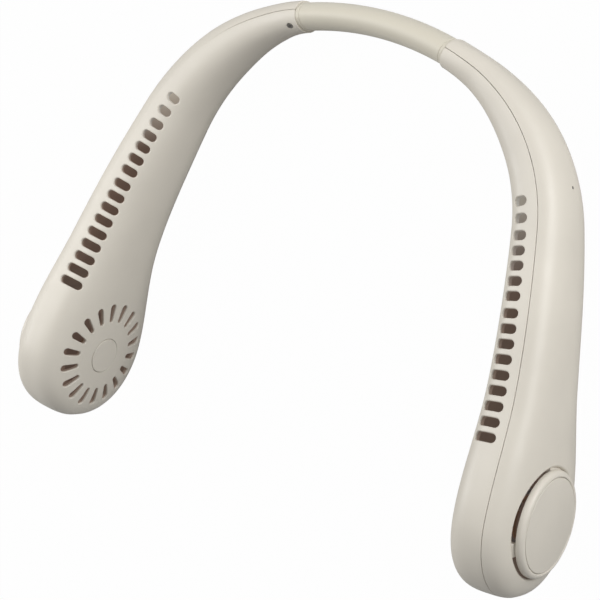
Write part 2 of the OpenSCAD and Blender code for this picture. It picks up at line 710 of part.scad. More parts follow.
// Place and heading along the band; the plug runs straight on
function band_at(s) =
  let (at = walk(min(s, mouth_s)), on = max(s - mouth_s, 0))
  [at[0] + on * cos(at[2]), at[1] - on * sin(at[2]), at[2]];
function band_loop(s, half_w, half_h) =
  let (at = band_at(abs(s)), flip = sign(s) == 0 ? 1 : sign(s))
  [for (k = [0:band_sides - 1])
    let (a = 360 * k / band_sides, w = half_w * cos(a))
    [flip * (at[0] + w * sin(at[2])), at[1] + w * cos(at[2]), half_h * sin(a)]];
module band_tube(stops) {
  points = [for (e = stops) each band_loop(e[0], e[1], e[2])];
  sides = [for (i = [0:len(stops) - 2]) for (k = [0:band_sides - 1])
    each quad(i * band_sides + k, (i + 1) * band_sides + k,
              (i + 1) * band_sides + (k + 1) % band_sides, i * band_sides + (k + 1) % band_sides)];
  end = (len(stops) - 1) * band_sides;
  polyhedron(points, concat(sides,
    [[for (k = [0:band_sides - 1]) k], [for (k = [band_sides - 1:-1:0]) end + k]]), convexity = 4);
}
module neck_band() {
  plug_s = mouth_s + band_plug;
  plug_half = [neck_w, neck_h] / 2 - [wall + plug_gap, wall + plug_gap];
  color("#cfc8b4") difference() {
    band_tube(concat(
      [for (s = [-plug_s, -mouth_s]) [s, plug_half[0], plug_half[1]]],
      [for (s = [-mouth_s, collar_l - mouth_s]) [s, band_t / 2 + collar_up, band_h / 2 + collar_up]],
      [for (i = [0:band_rings]) [(mouth_s - collar_l) * (2 * i / band_rings - 1), band_t / 2, band_h / 2]],
      [for (s = [mouth_s - collar_l, mouth_s]) [s, band_t / 2 + collar_up, band_h / 2 + collar_up]],
      [for (s = [mouth_s, plug_s]) [s, plug_half[0], plug_half[1]]]));
    band_tube(concat(
      [[-plug_s - cut, bore_w / 2, bore_h / 2]],
      [for (i = [0:band_rings]) [mouth_s * (2 * i / band_rings - 1), bore_w / 2, bore_h / 2]],
      [[plug_s + cut, bore_w / 2, bore_h / 2]]));
    for (left = [false, true]) on_side(left) on_skin(anchor_screw_s, anchor_screw_angle(left))
      translate([0, 0, -anchor_screw_l]) cylinder(h = anchor_screw_l, r = anchor_screw_r + slack, $fn = 24);
  }
}
strip_t = 0.6;
strip_h = 6;
strip_off = 0.9;
module strip_run(past, gap)
  band_arc(band_turn + 180 * (band_plug + past) / (PI * band_bend_r))
    translate([strip_off, 0]) square([strip_t, strip_h] + [2 * gap, 2 * gap], center = true);
module band_spring_strip() {
  color("#b9bcc0") strip_run(anchor_l / 2, 0);
}
// Cable through the band, from the left board to the right one
shoulder_board_l = 20;
cable_r = 0.8;
cable_off = -1.1;
cable_sides = 8;
cable_rings = 36;
cable_end_s = usb_s - shoulder_board_l / 2 - slack;
cable_drop_s = mouth_s + band_plug + anchor_l + 2 * slack;
function cable_up(s) = plug_in_up * ease((s - cable_drop_s) / (cable_end_s - cable_drop_s));
module cable_run(r) {
  points = [for (i = [0:cable_rings])
    let (s = cable_end_s * (2 * i / cable_rings - 1), at = walk(abs(s)), flip = s < 0 ? -1 : 1)
    for (k = [0:cable_sides - 1])
      let (a = 360 * k / cable_sides, across = cable_off + r * cos(a))
      [flip * (at[0] + across * sin(at[2])), at[1] + across * cos(at[2]), r * sin(a) + cable_up(abs(s))]];
  sides = [for (i = [0:cable_rings - 1]) for (k = [0:cable_sides - 1])
    let (a = i * cable_sides, b = a + cable_sides, next = (k + 1) % cable_sides)
    each quad(a + k, b + k, b + next, a + next)];
  end = cable_rings * cable_sides;
  polyhedron(points, concat(sides,
    [[for (k = [0:cable_sides - 1]) k], [for (k = [cable_sides - 1:-1:0]) end + k]]), convexity = 4);
}
module band_harness() {
  color("#2b2b2b") cable_run(cable_r);
}
// Block that holds the strip's end: a tongue inside the band's bore, and a head past its plug
anchor_w = 5.6;
anchor_h = 8;
tongue_gap = 0.2;
tongue_from = 1;
way_gap = 0.15;
module band_anchor(left) {
  tongue_l = band_plug + slack - tongue_from + strip_t;
  color("#6d6a64") difference() {
    on_side(left) at_arm(mouth_s) {
      translate([tongue_from, 0, 0]) rotate([90, 0, 90]) linear_extrude(tongue_l)
        polygon([for (a = [0:15:345])
          [(bore_w / 2 - tongue_gap) * cos(a), (bore_h / 2 - tongue_gap) * sin(a)]]);
      translate([band_plug + 2 * slack, -anchor_w / 2, -anchor_h / 2]) cube([anchor_l, anchor_w, anchor_h]);
    }
    strip_run(anchor_l + cut, way_gap);
    cable_run(cable_r + 2 * way_gap);
    on_side(left) on_skin(anchor_screw_s, anchor_screw_angle(left)) translate([0, 0, -anchor_screw_l])
      cylinder(h = anchor_screw_l, r = anchor_screw_r + fit);
  }
}
module anchor_screw(left) {
  color("#3a3a3a") on_side(left) on_skin(anchor_screw_s, anchor_screw_angle(left)) {
    translate([0, 0, -anchor_screw_l]) cylinder(h = anchor_screw_l - anchor_head_t / 2, r = anchor_screw_r);
    translate([0, 0, -anchor_head_t]) difference() {
      cylinder(h = anchor_head_t - slack, r = anchor_head_r);
      for (a = [0, 90]) translate([0, 0, anchor_head_t / 2]) rotate([0, 0, a])
        translate([-anchor_head_r / 2, -slack, 0]) cube([anchor_head_r, 2 * slack, anchor_head_t]);
    }
  }
}

// Power button on the left fan's axis, and the switch behind it
button_proud = 0.1;
flange_t = 0.6;
flange_gap = 0.2;
button_stem_r = 2;
flange_z = 2 * slack - pod_reach(0, guide_r + fan_up, wall);
switch_w = 6;
plunger_r = 1.5;
module power_button() {
  color("#d4d0c4") on_side(true) {
    on_axis(face_in - button_proud) cylinder(h = flange_z + flange_t / 2 - face_in + button_proud, r = button_r);
    on_axis(flange_z) cylinder(h = flange_t, r = guide_r - flange_gap);
    on_axis(wall_in) cylinder(h = plunger_z - wall_in, r = button_stem_r);
  }
}
module button_plunger() {
  color("black") on_side(true) on_axis(plunger_z)
    cylinder(h = plunger_up + switch_h - button_travel - 2 * slack - board_t / 2, r = plunger_r);
}
module tact_switch() {
  color("#26262a") on_side(true) on_axis(switch_board_z - switch_h) difference() {
    translate([-switch_w / 2, -switch_w / 2, 0]) cube([switch_w, switch_w, switch_h]);
    translate([0, 0, -cut]) cylinder(h = cut + switch_h - slack, r = plunger_r + slack);
  }
}
module switch_board() {
  color("#2f6b3c") on_side(true) on_axis(switch_board_z) cylinder(h = board_t, r = guide_r - slack);
}

// Boards in the shoulders: control on the left, charging on the right
shoulder_board_w = 10.4;
usb_depth = 6.8;
usb_wall = 0.3;
post_r = 1.2;
post_from_end = 2.4;
chip_w = 4;
chip_h = 1;
plug_in_l = 3.6;
plug_in_w = 4.6;
plug_in_h = 2.8;
plug_in_at = on_skin_point(usb_s, 270, [0, -shoulder_board_l / 2, -usb_depth - board_t - plug_in_h / 2]);
plug_in_up = plug_in_at[2];
module shoulder_board()
  on_skin(usb_s, 270) {
    translate([-shoulder_board_w / 2, -shoulder_board_l / 2, -usb_depth - board_t])
      cube([shoulder_board_w, shoulder_board_l, board_t]);
    for (y = [-1, 1]) translate([0, y * (shoulder_board_l / 2 - post_from_end), -usb_depth - board_t / 2])
      cylinder(h = usb_depth + board_t / 2 - wall - post_gap, r = post_r);
    translate([-plug_in_w / 2, slack - shoulder_board_l / 2, -usb_depth - board_t - plug_in_h])
      cube([plug_in_w, plug_in_l, plug_in_h + board_t / 2]);
    for (y = [-0.1, 0.9]) translate([-chip_w / 2, y * (chip_w + wall), -usb_depth - board_t - chip_h])
      cube([chip_w, chip_w, chip_h + board_t / 2]);
  }
post_gap = 0.5;
module control_board() {
  color("#2f6b3c") on_side(true) shoulder_board();
}
module charge_board() {
  color("#2f6b3c") shoulder_board();
}
module usb_socket() {
  color("silver") on_skin(usb_s, 270) rotate([0, 0, 90]) translate([0, 0, -usb_depth]) {
    linear_extrude(usb_depth - usb_gap) difference() {
      stadium(usb_l, usb_w);
      stadium(usb_l - 2 * usb_wall, usb_w - 2 * usb_wall);
    }
    linear_extrude(board_t) stadium(usb_l - usb_wall, usb_w - usb_wall);
    translate([usb_w - usb_l / 2, -usb_wall, board_t / 2])
      cube([usb_l - 2 * usb_w, 2 * usb_wall, usb_depth - board_t - usb_gap]);
  }
}
module charge_light() {
  color("#f4f0d8") on_skin(light_s, light_angle)
    translate([0, 0, -wall - light_r]) cylinder(h = wall + light_r - slack, r = light_r, $fn = 24);
}

resting() neck_band();
resting() band_spring_strip();
resting() band_harness();
resting() outer_shell(true);  // left_outer_shell
resting() outer_shell(false);  // right_outer_shell
resting() inner_shell(true);  // left_inner_shell
resting() inner_shell(false);  // right_inner_shell
resting() intake_cap(true);  // left_intake_cap
resting() intake_cap(false);  // right_intake_cap
resting() cap_plate(true);  // left_cap_plate
resting() cap_plate(false);  // right_cap_plate
resting() fan_wheel(true);  // left_fan_wheel
resting() fan_wheel(false);  // right_fan_wheel
resting() rotor_cup(true);  // left_rotor_cup
resting() rotor_cup(false);  // right_rotor_cup
resting() magnet_ring(true);  // left_magnet_ring
resting() magnet_ring(false);  // right_magnet_ring
resting() shaft(true);  // left_shaft
resting() shaft(false);  // right_shaft
resting() stator_core(true);  // left_stator_core
resting() stator_core(false);  // right_stator_core
resting() windings(true);  // left_windings
resting() windings(false);  // right_windings
resting() bearings(true);  // left_bearings
resting() bearings(false);  // right_bearings
resting() motor_mount(true);  // left_motor_mount
resting() motor_mount(false);  // right_motor_mount
resting() motor_board(true);  // left_motor_board
resting() motor_board(false);  // right_motor_board
resting() motor_screws(true);  // left_motor_screws
resting() motor_screws(false);  // right_motor_screws
resting() air_duct(true);  // left_air_duct
resting() air_duct(false);  // right_air_duct
resting() duct_wall(true);  // left_duct_wall
resting() duct_wall(false);  // right_duct_wall
resting() battery(true);  // left_battery
resting() battery(false);  // right_battery
resting() band_anchor(true);  // left_band_anchor
resting() band_anchor(false);  // right_band_anchor
resting() anchor_screw(true);  // left_anchor_screw
resting() anchor_screw(false);  // right_anchor_screw
resting() power_button();
resting() button_plunger();
resting() tact_switch();
resting() switch_board();
resting() control_board();
resting() charge_board();
resting() usb_socket();
resting() charge_light();
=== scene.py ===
"""Neck fan: the dressed model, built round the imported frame."""
import json
import math
import bmesh
import bpy
import numpy as np
from bpy.props import FloatProperty, FloatVectorProperty, IntProperty, PointerProperty
from mathutils import Matrix, Vector
from mathutils.geometry import delaunay_2d_cdt
from mathutils.kdtree import KDTree


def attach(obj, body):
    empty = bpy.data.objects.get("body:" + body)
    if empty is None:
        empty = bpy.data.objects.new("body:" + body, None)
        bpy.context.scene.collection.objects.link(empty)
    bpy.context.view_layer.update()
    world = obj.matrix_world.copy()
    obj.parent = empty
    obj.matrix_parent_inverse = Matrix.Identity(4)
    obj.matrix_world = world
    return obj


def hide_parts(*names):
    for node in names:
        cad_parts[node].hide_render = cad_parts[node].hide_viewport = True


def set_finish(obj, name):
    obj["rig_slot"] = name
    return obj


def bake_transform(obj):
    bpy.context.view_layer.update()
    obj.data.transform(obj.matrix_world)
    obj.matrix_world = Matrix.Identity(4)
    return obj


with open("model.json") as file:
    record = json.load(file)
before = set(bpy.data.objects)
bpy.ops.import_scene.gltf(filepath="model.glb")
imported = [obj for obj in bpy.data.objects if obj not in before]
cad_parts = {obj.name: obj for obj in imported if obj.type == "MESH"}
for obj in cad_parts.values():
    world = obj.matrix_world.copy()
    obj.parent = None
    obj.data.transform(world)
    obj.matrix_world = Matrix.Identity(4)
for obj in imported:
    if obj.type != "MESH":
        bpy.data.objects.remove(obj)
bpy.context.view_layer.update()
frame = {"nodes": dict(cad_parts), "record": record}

bl_info = {
    "name": "Neck Fan",
    "version": (1, 0, 0),
    "blender": (4, 5, 0),
    "location": "View3D > Sidebar > Neck Fan",
    "description": "Models the shells, band, caps and button of a neck fan round its frame",
    "category": "Object",
}

MM = 0.001

# Path of an arm, in millimetres and degrees: radius and turn of each bend
BENDS = ((131.5, 14.4), (73.0, 59.8), (490.0, 11.6))
STATIONS = np.array([0, 0.25, 0.5, 0.75, 1])
HALF_HEIGHTS = np.array([16.4, 24.8, 32.6, 40.2, 57.8]) / 2
HALF_WIDTHS = np.array([11.8, 19.2, 22.0, 24.4, 28.0]) / 2
SQUARENESS = np.array([2.25, 2.4, 2.6, 2.8, 2.9])
TIP_SQUARENESS = 3.4
ARM_SAG, SAG_SHIFT, SAG_START = 3.3, 2.3, 16.0
BAND_T, BAND_H, COLLAR_L, COLLAR_UP = 10.4, 15.6, 1.6, 0.2
SEAM_GAP, SEAM_NECK, SEAM_POD = 0.16, 74.0, 80.0
SEAM_CLOSED, CLOSED_FROM, CLOSED_OVER = 0.88, 0.08, 0.16
# Wall thickness; the top LIT_WALL of a through opening's wall keeps the shell's colour, and the rest is
# painted shade.
WALL, LIT_WALL = 1.8, 0.75

# Steps from the band's end over its collar to the plug: length in millimetres and scale
COLLAR_STEPS = ((0.1, 0.984), (0.12, 1.016), (0.14, 1 + 2 * COLLAR_UP / BAND_H), (COLLAR_L - 0.6, 1),
                (0.14, 0.995), (0.1, 0.975), (0.02, 0.72), (5.6, 1))

# Air slots
SLOTS, SLOT_PITCH, SLOT_W = 16, 5.3, 3.3
SLOT_FROM_FAN, SLOT_LENGTHS, SLOT_ANGLES = 27.8, (5.6, 9.8), (105.4, 101.8)
SLOT_STEPS = (1.18, 1.15, 1, 0.98, 1, 0.98, 1.12, 1, 0.99, 1, 1.02, 1, 1.01, 1, 0.98)

# Round ends
POD_R, POD_HALF, FAN_UP = 28.9, 14.0, 1.0
GRILLE_SLOTS, GRILLE_PHASE = 18, 0.38
GRILLE_IN, GRILLE_OUT, GRILLE_W_IN, GRILLE_W_OUT = 14.2, 21.8, 1.9, 2.9
RECESS_R, RECESS_Z, RECESS_WALL, RECESS_EASE, FLOOR_T, INTAKE_R = 20.0, 9.4, 1.2, 0.3, 1.4, 15.8
CAP_R, CAP_TOP, CAP_T, CAP_EDGE_ROUND = 19.3, 15.4, 2.9, 0.25
PLATE_R, PLATE_T, PLATE_GAP, PLATE_ROUND, SEAT_ROUND = 17.0, 0.8, 0.15, 0.25, 0.45
FEET = ((-64.0, 17.0, 1.6), (56.0, 17.0, 1.6), (163.0, 46.0, 0.8))
FOOT_RISE, FOOT_DEPTH, FOOT_GAP, FOOT_ROUND = 0.3, 1.5, 0.1, 0.25
BUTTON_R, BUTTON_T, BUTTON_GAP, BUTTON_PROUD, BUTTON_RIM, BUTTON_ROUND = 7.0, 2.6, 0.15, 0.1, 0.9, 0.3
STEM_R, STEM_L, GROOVE_T, GROOVE_ROUND = 1.7, 1.6, 0.3, 0.1
PORT_W, PORT_H, PORT_ANGLE, PINHOLE_R, PINHOLE_ROUND = 9.5, 3.7, 270, 0.6, 0.12

# Fineness of the meshes
GRID_STEP, EDGE_STEP, OUTLINE_STEP, SMALL_STEP, PINHOLE_STEP = 1.6, 1.5, 0.6, 0.3, 0.2
GRID_TURN, GRID_REACH, ALL_ROWS_FROM, RIM_CLEAR = 0.058, 1.9, 14, 0.62
DISC_SIDES, BUTTON_SIDES, BAND_SIDES = 160, 96, 96
TIP_PLACES, MOUTH_PLACES, CORNER_PLACES, END_PLACES = 61, 29, 7, 9
ROUNDING = np.array([30, 60, 90])
HALVINGS, LIFT_ROUNDS = 44, 9
LEVEL_SLACK, RING_SLACK, MERGE_SLACK, FINE_SLACK = 2e-6, 2e-5, 1e-6, 1e-7
SMOOTH, BAND_SMOOTH, FOOT_SHARP = math.radians(35), math.radians(40), math.radians(25)

# Camera as the photograph's: lens in millimetres, place in metres and the picture's directions
LENS, SENSOR, NEAR_CLIP, FAR_CLIP = 120.992, 36, 0.01, 50
CAMERA_AT = (0.39936, 0.14758, 0.63728)
PICTURE_RIGHT = (0.79557, 0.18765, -0.57607)
PICTURE_UP = (-0.2795, 0.95728, -0.07418)
PICTURE_BACK = (0.53754, 0.22003, 0.81403)

# Lamps aimed at the origin: name, place in metres and share of the key light
LAMPS = (("right_lamp", (0.68, 0.39, 0.17), 1.0), ("left_lamp", (-0.66, 0, 0.46), 0.75),
         ("back_lamp", (0.39, 0.68, 0.17), 0.34), ("top_lamp", (-0.28, 0.28, 0.69), 0.5))
LAMP_SIZE, FLOOR_SIZE, FLOOR_DROP, FLOOR_TINT, BACKDROP = 0.5, 30, 0.0002, (0.4, 0.4, 0.4, 1), 0.985

# Inside of the shells (painted shade), its far tint (painted light towards the band) and where it fades in;
# plastics' texture in cycles per metre
INSIDE_LIT_TINT, INSIDE_LIT_FADE = (0.5, 0.49, 0.46), (0.01, 0.045)
TEXTURE, TEXTURE_DEPTH = 1600, 0.00002


def arc_length(bend):
    return bend[0] * math.radians(bend[1])


MOUTH_S = arc_length(BENDS[0])
POD_S = sum(arc_length(b) for b in BENDS)
USB_S, LIGHT_S = (MOUTH_S + share * (POD_S - MOUTH_S) for share in (0.2, 0.36))
SCREW_S, SCREW_ANGLES, SCREW_HOLE_R = MOUTH_S + 3.4, {True: 131.0, False: 229.0}, 1.3


# The arm's path and section

def walk(s):
    """Place and heading, in radians, at a distance along the path."""
    s = np.asarray(s, float)
    x, y, heading = np.zeros((3, *s.shape))
    start, first = 0.0, 0.0
    for radius, turn in BENDS:
        turn = math.radians(turn)
        t = np.clip((s - start) / radius, 0, turn)
        x += radius * (np.sin(first + t) - math.sin(first))
        y += radius * (np.cos(first + t) - math.cos(first))
        heading += t
        start, first = start + radius * turn, first + turn
    on = np.maximum(s - start, 0)
    return x + on * math.cos(first), y - on * math.sin(first), heading


def through(values, s):
    """Smooth curve through the values at the stations."""
    u = share(s)
    step = STATIONS[1]
    slopes = np.zeros(len(values))
    slopes[1:-1] = (values[2:] - values[:-2]) / (2 * step)
    i = np.clip((u / step).astype(int), 0, len(values) - 2)
    t = u / step - i
    return ((2 * t ** 3 - 3 * t ** 2 + 1) * values[i] + (t ** 3 - 2 * t ** 2 + t) * step * slopes[i]
            + (3 * t ** 2 - 2 * t ** 3) * values[i + 1] + (t ** 3 - t ** 2) * step * slopes[i + 1])


def share(s):
    return np.clip((np.asarray(s, float) - MOUTH_S) / (POD_S - MOUTH_S), 0, 1)


def ease(t):
    t = np.clip(t, 0, 1)
    return t * t * (3 - 2 * t)


def sag(s):
    u = share(s)
    drop = ARM_SAG * np.sin(np.pi * u) + SAG_SHIFT * np.sin(2 * np.pi * u)
    return -drop * ease((np.asarray(s, float) - MOUTH_S) / SAG_START)


def power(v, p):
    return np.sign(v) * np.abs(v) ** p


def rest_pose():
    """Lean of the part as it rests, and how far it is moved back."""
    y = walk(POD_S)[1]
    s = np.arange(0, 0.81, 0.02) * POD_S
    dy = walk(s)[1] - y
    dz = through(HALF_HEIGHTS, s) - sag(s)
    lean = (np.arcsin(POD_R / np.hypot(dy, dz)) - np.arctan2(dz, dy)).min()
    back = -y * math.cos(lean) + math.hypot(BAND_T * math.cos(lean), BAND_H * math.sin(lean)) / 2
    return lean, y, (POD_R - back) / 2


LEAN, POD_Y, SHIFT_Y = rest_pose()
REST = (Matrix.Scale(MM, 4) @ Matrix.Translation((0, SHIFT_Y, POD_R))
        @ Matrix.Rotation(-LEAN, 4, "X") @ Matrix.Translation((0, -POD_Y, 0)))
MIRROR = Matrix.Diagonal((-1, 1, 1, 1))


def rest_matrix(left):
    """An arm's own millimetres to where it lies at rest, in metres."""
    return MIRROR @ REST if left else REST


def axes_at(origin, *axes):
    return Matrix.Translation(origin) @ Matrix(axes).transposed().to_4x4()


# The skin, laid out flat: x runs along the arm from the fan's axis, y round it. Past the
# axis the two are polar, so the round end has no pole. Outer and inner half differ in sign.

def halve(test, low, high):
    """Largest values from low to high that still pass the test."""
    for _ in range(HALVINGS):
        middle = (low + high) / 2
        good = test(middle)
        low, high = np.where(good, middle, low), np.where(good, high, middle)
    return middle


def tip_room(along, up):
    """Depth of the round end's skin over a place, all as shares of the end's own sizes."""
    n = SQUARENESS[-1]
    rise = np.minimum(np.abs(up) / np.sqrt(1 - along ** 2), 1)
    return (1 - along ** TIP_SQUARENESS) ** (1 / TIP_SQUARENESS) * (1 - rise ** n) ** (1 / n)


def end_points(sign, x, y):
    reach, turn = np.hypot(x, y) / POD_R, np.arctan2(y, x)
    deep, wide = np.cos(reach), np.sin(reach)

    def inside(k):
        along = np.clip(k * wide * np.cos(turn), 0, 1 - 1e-12)
        return (k * wide < 1) & (np.abs(k * deep) < tip_room(along, k * wide * np.sin(turn)))
    k = halve(inside, np.full_like(x, 0.5), np.full_like(x, 1.6))
    return k * wide * np.cos(turn) * POD_R, k * wide * np.sin(turn) * POD_R, sign * k * deep * POD_HALF


def skin(sign, x, y):
    """Points of the skin, in millimetres on the path's own axes."""
    x, y = np.asarray(x, float), np.asarray(y, float)
    s = POD_S + np.minimum(x, 0)
    wide, high, n = through(HALF_WIDTHS, s), through(HALF_HEIGHTS, s), through(SQUARENESS, s)
    c, d = np.cos(y / high), np.sin(y / high)
    k = (np.abs(c) ** n + np.abs(d) ** n) ** (-1 / n)
    across, up, on = sign * wide * k * c, high * k * d + sag(s), np.zeros_like(x)
    past = x > 0
    if past.any():
        on[past], up[past], across[past] = end_points(sign, x[past], y[past])
    px, py, h = walk(s)
    c, d = np.cos(h), np.sin(h)
    return np.stack([px + on * c + across * d, py - on * d + across * c, up], -1)


def unit(v):
    return v / np.linalg.norm(v, axis=-1, keepdims=True)


def pair(a, b):
    return np.stack([a, b], -1)


def skin_normal(sign, x, y):
    e = 0.02
    dx = skin(sign, x + e, y) - skin(sign, x - e, y)
    dy = skin(sign, x, y + e) - skin(sign, x, y - e)
    return sign * unit(np.cross(dy, dx))


def spot(sign, s, angle):
    """Flat place of the skin at a distance along the arm and an angle round it."""
    n, high = through(SQUARENESS, s), through(HALF_HEIGHTS, s)
    c, d = power(np.cos(np.radians(angle)), 2 / n), power(np.sin(np.radians(angle)), 2 / n)
    return np.array([s - POD_S, np.arctan2(d, sign * c) * high])


def lift(sign, origin, ex, ey, flat, start):
    """Flat places of the skin that lie over points of a plane."""
    q, e = np.array(start, float), 1e-3
    for _ in range(LIFT_ROUNDS):
        p = skin(sign, q[:, 0], q[:, 1])
        miss = flat - pair((p - origin) @ ex, (p - origin) @ ey)
        px = (skin(sign, q[:, 0] + e, q[:, 1]) - p) / e
        py = (skin(sign, q[:, 0], q[:, 1] + e) - p) / e
        a, b, c, d = px @ ex, py @ ex, px @ ey, py @ ey
        det = a * d - b * c
        q += pair((d * miss[:, 0] - b * miss[:, 1]) / det, (a * miss[:, 1] - c * miss[:, 0]) / det)
    return q


def pod_plane():
    """Centre of the fan's axis and its directions: along the arm, up and outwards."""
    x, y, h = walk(POD_S)
    return (np.array([x, y, FAN_UP]), np.array([math.cos(h), -math.sin(h), 0]),
            np.array([0, 0, 1.0]), np.array([math.sin(h), math.cos(h), 0]))


def skin_plane(sign, s, angle):
    """Plane that touches the skin: origin, direction along the arm and direction round it."""
    step = 0.8
    at = [skin(sign, *spot(sign, s + step * k, angle)) for k in (-1, 0, 1)]
    round_a, round_b = (skin(sign, *spot(sign, s, angle + k)) for k in (-1, 1))
    along = unit(at[2] - at[0])
    normal = unit(np.cross(unit(round_b - round_a), along))
    return at[1], along, np.cross(along, normal)


def over_pod(sign, flat):
    origin, ex, ey, _ = pod_plane()
    return lift(sign, origin, ex, ey, flat, flat + [0, FAN_UP])


def over_skin(sign, s, angle, flat):
    origin, ex, ey = skin_plane(sign, s, angle)
    q = spot(sign, s, angle)
    turn = np.sign(skin(sign, q[0], q[1] + 0.1) @ ey - skin(sign, q[0], q[1] - 0.1) @ ey)
    return lift(sign, origin, ex, ey, flat, q + flat * [1, turn])


# Outlines

def dense(points, step):
    """The closed outline with points no further apart than the step."""
    out = []
    for a, b in zip(points, np.roll(points, -1, 0)):
        count = max(int(math.ceil(np.linalg.norm(b - a) / step)), 1)
        out += [a + (b - a) * k / count for k in range(count)]
    return np.array(out)


def circle(radius, step=0.5):
    a = np.linspace(0, 2 * np.pi, max(int(2 * np.pi * radius / step), 20), endpoint=False)
    return radius * pair(np.cos(a), np.sin(a))


def rounded_box(length, width, corner, grow):
    """Box along y with rounded corners, grown by the fillet."""
    corner += grow
    x, y = width / 2 + grow - corner, length / 2 + grow - corner
    a = np.radians(np.linspace(0, 90, CORNER_PLACES))
    pts = []
    for k, (sx, sy) in enumerate(((1, 1), (-1, 1), (-1, -1), (1, -1))):
        t = a + k * np.pi / 2
        pts += [(sx * x + corner * math.cos(v), sy * y + corner * math.sin(v)) for v in t]
    return dense(np.array(pts), OUTLINE_STEP)


def tapered_slot(near, far, w_near, w_far, angle, grow):
    """Slot between two circles on a ray from the centre."""
    r1, r2 = w_near / 2 + grow, w_far / 2 + grow
    x1, x2 = near + w_near / 2, far - w_far / 2
    lean = math.asin((r2 - r1) / (x2 - x1))
    pts = []
    for x, r, start, sweep in ((x2, r2, -math.pi / 2 - lean, math.pi + 2 * lean),
                               (x1, r1, math.pi / 2 + lean, math.pi - 2 * lean)):
        for a in np.linspace(start, start + sweep, END_PLACES):
            pts.append((x + r * math.cos(a), r * math.sin(a)))
    pts = dense(np.array(pts), OUTLINE_STEP)
    c, s = math.cos(angle), math.sin(angle)
    return pts @ np.array([[c, s], [-s, c]])


def area(loop):
    x, y = loop[:, 0], loop[:, 1]
    return np.sum(x * np.roll(y, -1) - np.roll(x, -1) * y) / 2


def within(points, loop):
    """Which of the points lie inside the closed outline."""
    x, y = points[:, 0:1], points[:, 1:2]
    ax, ay = loop[:, 0], loop[:, 1]
    bx, by = np.roll(ax, -1), np.roll(ay, -1)
    crosses = (ay > y) != (by > y)
    at = (bx - ax) * (y - ay) / np.where(by == ay, 1, by - ay) + ax
    return (np.sum(crosses & (x < at), 1) % 2) == 1


def edge_loop(sign, fillet, left):
    """Outline of a half shell (underside seam, tip, top seam, mouth) and its rounding.

    The left arm's seam closes tight past the shoulder.
    """
    x = np.linspace(MOUTH_S - POD_S + fillet, 0, int((POD_S - MOUTH_S) / EDGE_STEP))
    s = POD_S + x
    opened = np.ones_like(s)
    if left:
        opened -= SEAM_CLOSED * ease((share(s) - CLOSED_FROM) / CLOSED_OVER)
    n, seam = through(SQUARENESS, s), np.radians(SEAM_NECK + (SEAM_POD - SEAM_NECK) * share(s))
    c = sign * power(np.cos(seam), 2 / n) + opened * (SEAM_GAP / 2 + fillet) / through(HALF_WIDTHS, s)
    y = np.arctan2((1 - np.abs(c) ** n) ** (1 / n), c) * through(HALF_HEIGHTS, s)
    turn = np.linspace(-np.pi / 2, np.pi / 2, TIP_PLACES)[1:-1]
    c = c[-1]
    r = halve(lambda r: tip_room(r * np.cos(turn), r * np.sin(turn)) > abs(c),
              np.zeros_like(turn), np.ones_like(turn))
    reach = np.arctan2(r, c) * POD_R
    mouth = np.linspace(y[0], -y[0], MOUTH_PLACES)[1:-1]
    places = np.concatenate([
        pair(x, -y), pair(reach * np.cos(turn), reach * np.sin(turn)),
        pair(x, y)[::-1], pair(np.full_like(mouth, x[0]), mouth)])
    rounding = fillet * np.concatenate([
        opened, np.full_like(turn, opened[-1]), opened[::-1], np.ones_like(mouth)])
    return places, rounding


def grid_places():
    """Places spread over the inside of a half shell's outline."""
    count = int(GRID_REACH / GRID_TURN)
    turns = np.arange(-count, count + 1) * GRID_TURN
    out = []
    for x in np.arange(MOUTH_S - POD_S + GRID_STEP, 0.01, GRID_STEP):
        high = through(HALF_HEIGHTS, POD_S + x)
        rows = turns if high > ALL_ROWS_FROM else turns[count % 2::2]
        out.append(pair(np.full_like(rows, x), rows * high))
    for a in turns[turns > 0]:
        count = max(int(round(np.pi * a * POD_R / GRID_STEP)), 2)
        t = np.linspace(-np.pi / 2, np.pi / 2, count + 1)[1:-1]
        out.append(a * POD_R * pair(np.cos(t), np.sin(t)))
    return np.concatenate(out)


def new_object(name, data):
    item = bpy.data.objects.new(name, data)
    bpy.context.scene.collection.objects.link(item)
    return item


